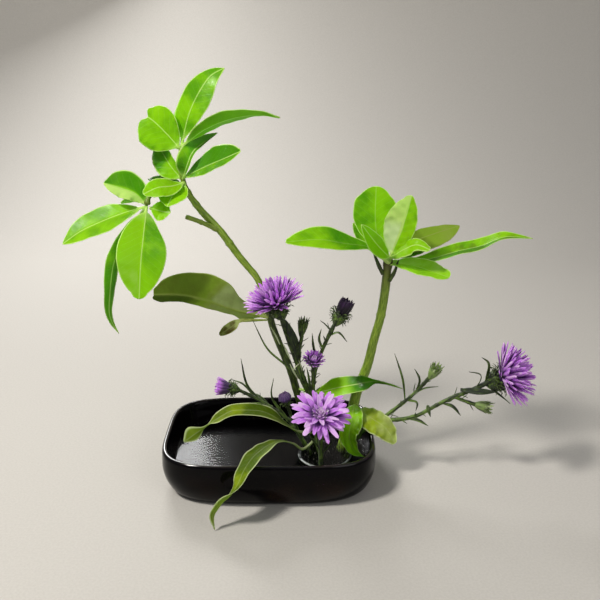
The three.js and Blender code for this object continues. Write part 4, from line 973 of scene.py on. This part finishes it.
# A stalk is its points and then its radii. A cup is its base, axis, radius, height, rows of bracts and
# their length, and where they differ from make_cup's, its tone and curl; a tone above 0.9 paints pale
# highlights on the bracts. A leaf is a width and points.
ASTERS = {}
ASTERS["back"] = dict(
    stalks=[
        ([[48, 4, 6], [38, 5, 69], [28, 4, 100], [18, 3, 130], [12, 1, 151]], 2.8, 2.8, 2.6, 2.4, 2.4),
        ([[39, 5, 64], [42, 4, 100], [50, 3, 125], [59, 2, 146]], 2, 1.8, 1.7, 1.9),
        ([[40, 4, 80], [40, -3, 107]], 1.8, 1.8),
        ([[27, 4, 102], [28, 6, 122], [30, 6, 134]], 1.5, 1.4, 1.8),
    ],
    cups=[
        ((8, -1, 164), (-0.33, -0.05, 0.94), 8.5, 14, 7, 6),
        ((65, 1, 157), (0.42, -0.05, 0.9), 6.4, 14, 6, 5),
        ((40, -5, 113), (0.15, -0.45, 0.88), 4.4, 7, 4, 3.2),
        ((31, 6, 146), (0.15, 0, 1), 4.0, 15, 7, 5, 0.4, 0.35),
    ],
    leaves=[
        [0.8, [32, 4, 86], [14, 3, 106], [-1, 2, 121], [-14, 0, 150]],
        [0.9, [49, 3, 120], [45, 2, 131], [47, 0, 142]], [0.9, [54, 2, 134], [62, 0, 138], [70, -2, 130]],
        [1, [35, 5, 80], [25, 6, 98], [25, 8, 118]], [0.9, [43, 4, 108], [40, 8, 122], [39, 10, 134]],
        [0.9, [23, 3, 118], [30, 0, 134], [30, -3, 146]], [3.4, [27, 3, 112], [20, 0, 136], [15, 2, 150]],
        [1.4, [38, 5, 70], [28, 0, 92], [24, -2, 108]], [1.4, [34, 4, 84], [22, 2, 100], [14, 1, 112]],
        [1.2, [38, 4, 74], [36, -1, 92], [34, -3, 106]], [1.0, [56, 2, 138], [50, 0, 146], [46, -1, 150]],
        [0.7, [10, -3, 128], [6, -3, 137], [2, -4, 145]], [0.7, [19, -3, 114], [16, -3, 121], [13, -4, 129]],
        [0.5, [22, -7, 105], [24, -8, 108], [27, -9, 112]],
        [0.5, [30, -5, 103], [29, -6, 108], [27, -7, 114]],
        [0.7, [26, -6, 96], [22, -8, 104], [19, -9, 112]],
    ],
    leafy=4.5)
ASTERS["left"] = dict(
    stalks=[
        ([[42, 4, 6], [28, 3, 33], [17, 1, 51], [2, 0, 64], [-13, -2, 75], [-28, -4, 84]], 2.2, 2, 1.7, 1.6,
         1.6, 1.6),
        ([[30, 3, 31], [22, -4, 52], [16, -8, 70]], 1.4, 1.3, 1.3),
    ],
    cups=[
        ((-36, -5, 86), (-0.9, -0.1, 0.25), 5, 10, 5, 4.2),
        ((15, -9, 76), (-0.25, -0.25, 0.93), 4, 8, 4, 2.8),
    ],
    leaves=[
        [0.9, [-8, -1, 72], [-20, -3, 88], [-25, -4, 115]], [1, [19, 1, 49], [2, -2, 76], [4, -3, 95]],
        [0.9, [-13, -2, 75], [-24, 3, 86], [-36, 6, 90]], [0.9, [3, 0, 63], [-12, 6, 74], [-26, 8, 73]],
        [0.9, [9, 0, 59], [-8, -6, 71], [-22, -8, 72]],
    ])
ASTERS["front"] = dict(
    stalks=[
        ([[47, -12, 6], [47, -20, 36], [46, -27, 58], [46, -32, 68]], 2.4, 2.2, 2.1, 2.2),
    ],
    cups=[
        ((46, -34, 72), (0.02, -0.5, 0.87), 7, 10, 5, 5),
    ],
    leaves=[
        [1.1, [47, -18, 30], [41, -22, 40], [36, -26, 50]],
        [1.1, [47, -22, 42], [53, -24, 50], [57, -28, 60]],
        [1.1, [47, -16, 24], [54, -17, 34], [59, -20, 42]],
    ])
ASTERS["right"] = dict(
    stalks=[
        ([[69, 0, 6], [80, 0, 31], [95, -1, 47], [107, -2, 52], [119, -4, 54], [134, -5, 58], [159, -7, 74],
          [188, -9, 89], [199, -10, 96]], 2.6, 2.4, 2.2, 2, 1.9, 1.8, 1.8, 2, 2.4),
        ([[94, -1, 46], [111, -2, 60], [126, -3, 74], [134, -3, 82], [147, -4, 99]], 2, 1.8, 1.7, 1.6, 1.8),
        ([[167, -8, 79], [179, -10, 75], [189, -11, 72]], 1.4, 1.6, 2),
    ],
    cups=[
        ((211, -11, 99), (0.8, -0.38, 0.47), 10.5, 18, 8, 6.5),
        ((151, -5, 107), (0.45, -0.1, 0.9), 5, 14, 6, 4, 1.05, 0.4),
        ((199, -12, 70), (0.95, -0.1, -0.2), 5, 14, 6, 4, 1.05, 0.4),
    ],
    leaves=[
        [0.9, [124, -3, 72], [121, -2, 93], [113, 0, 118]],
        [0.9, [133, -3, 80], [136, -4, 94], [131, -4, 105]],
        [0.9, [127, -3, 75], [140, -8, 87], [152, -12, 91]],
        [0.9, [125, -3, 73], [134, -8, 73], [133, -11, 66]],
        [1.3, [124, -4, 55], [135, -9, 56], [145, -13, 52]],
        [1.4, [147, -6, 66], [144, -11, 70], [146, -15, 62]],
        [1.3, [157, -7, 72], [166, -12, 71], [173, -16, 64]],
        [0.9, [187, -9, 88], [189, -12, 102], [178, -13, 106]],
        [1.2, [194, -10, 93], [196, -8, 112], [190, -6, 117]],
        [1.2, [194, -10, 92], [206, -14, 84], [216, -18, 77]],
        [2.8, [172, -11, 87], [188, -15, 87], [203, -17, 88]],
    ])


def make_asters():
    for seed, (name, aster) in enumerate(ASTERS.items(), 3):
        make_stalks(f"aster_{name}", seed=seed, **aster)
    for seed, (name, bloom) in enumerate(BLOOMS.items(), 11):
        make_bloom(f"bloom_{name}", seed=seed, **bloom)
    for seed, (name, bud) in enumerate(BUDS.items(), 31):
        make_bud(f"bud_{name}", seed=seed, **bud)


# ---------------------------------------------------------------- stage, light and camera

# Metres, then degrees for the camera's tilt and millimetres for its lens and sensor.
WALL_AT, WALL_HEIGHT, COVE_RADIUS, FLOOR_HALF_WIDTH = 1.2, 2.6, 0.5, 3.5
CAMERA_PLACE = (0.028, -0.648, 0.392)
CAMERA_TILT, CAMERA_LENS, SENSOR_WIDTH = 19, 46.86, 36


def make_stage():
    """A pale floor that curves up into a pale wall."""
    look = Look("floor")
    grain = look.noise(500, 3)
    look.colour = look.mix(look.band(grain, 0.3, 0.7), rgb(180, 176, 169), rgb(186, 182, 175))
    look.done(look.principled(roughness=0.8, normal=look.bump(grain, 0.0004, 0.3)))
    cove = WALL_AT - COVE_RADIUS
    profile = [(-2.5, 0), (-0.5, 0), (cove, 0)]
    for angle in np.linspace(0, math.pi / 2, 17)[1:]:
        profile.append((cove + COVE_RADIUS * math.sin(angle), COVE_RADIUS - COVE_RADIUS * math.cos(angle)))
    profile.append((WALL_AT, WALL_HEIGHT))
    points = [(x, y, z) for y, z in profile for x in (-FLOOR_HALF_WIDTH, FLOOR_HALF_WIDTH)]
    faces = [(2 * k, 2 * k + 1, 2 * k + 3, 2 * k + 2) for k in range(len(profile) - 1)]
    smooth_object("floor", points, faces, [look.material])


def area_light(name, place, aim_height, size, watts, colour=(1, 1, 1), shape="DISK"):
    """A light that looks at a height over the middle of the dish."""
    light = bpy.data.lights.new(name, "AREA")
    light.shape, light.size, light.energy, light.color = shape, size, watts, colour
    lamp = new_object(name, light)
    lamp.location = place
    lamp.rotation_mode = "QUATERNION"
    lamp.rotation_quaternion = Vector(np.array(place, float) - (0, 0, aim_height)).to_track_quat("Z", "Y")


def make_lights():
    world = bpy.data.worlds.new("studio")
    world.use_nodes = True
    back = world.node_tree.nodes["Background"]
    back.inputs["Color"].default_value = (0.8, 0.81, 0.84, 1)
    back.inputs["Strength"].default_value = 0.3
    bpy.context.scene.world = world
    area_light("key", (-0.62, -0.42, 1.15), 0.12, 0.22, 15.5, (1.0, 0.97, 0.92))
    area_light("back", (-0.385, 1.0, 0.76), 0.1, 0.42, 9.5, shape="SQUARE")
    area_light("fill", (0.9, -1.1, 0.9), 0.12, 1.0, 5)


def make_camera():
    camera = new_object("camera", bpy.data.cameras.new("camera"))
    camera.data.lens, camera.data.sensor_width = CAMERA_LENS, SENSOR_WIDTH
    camera.location = CAMERA_PLACE
    camera.rotation_euler = (math.radians(90 - CAMERA_TILT), 0, 0)
    camera.data.clip_start = 0.01
    bpy.context.scene.camera = camera
    bpy.context.scene.view_settings.view_transform = "Standard"


make_dish()
make_water()
make_kenzan()
make_branches()
make_leaves()
make_asters()
make_stage()
make_lights()
make_camera()
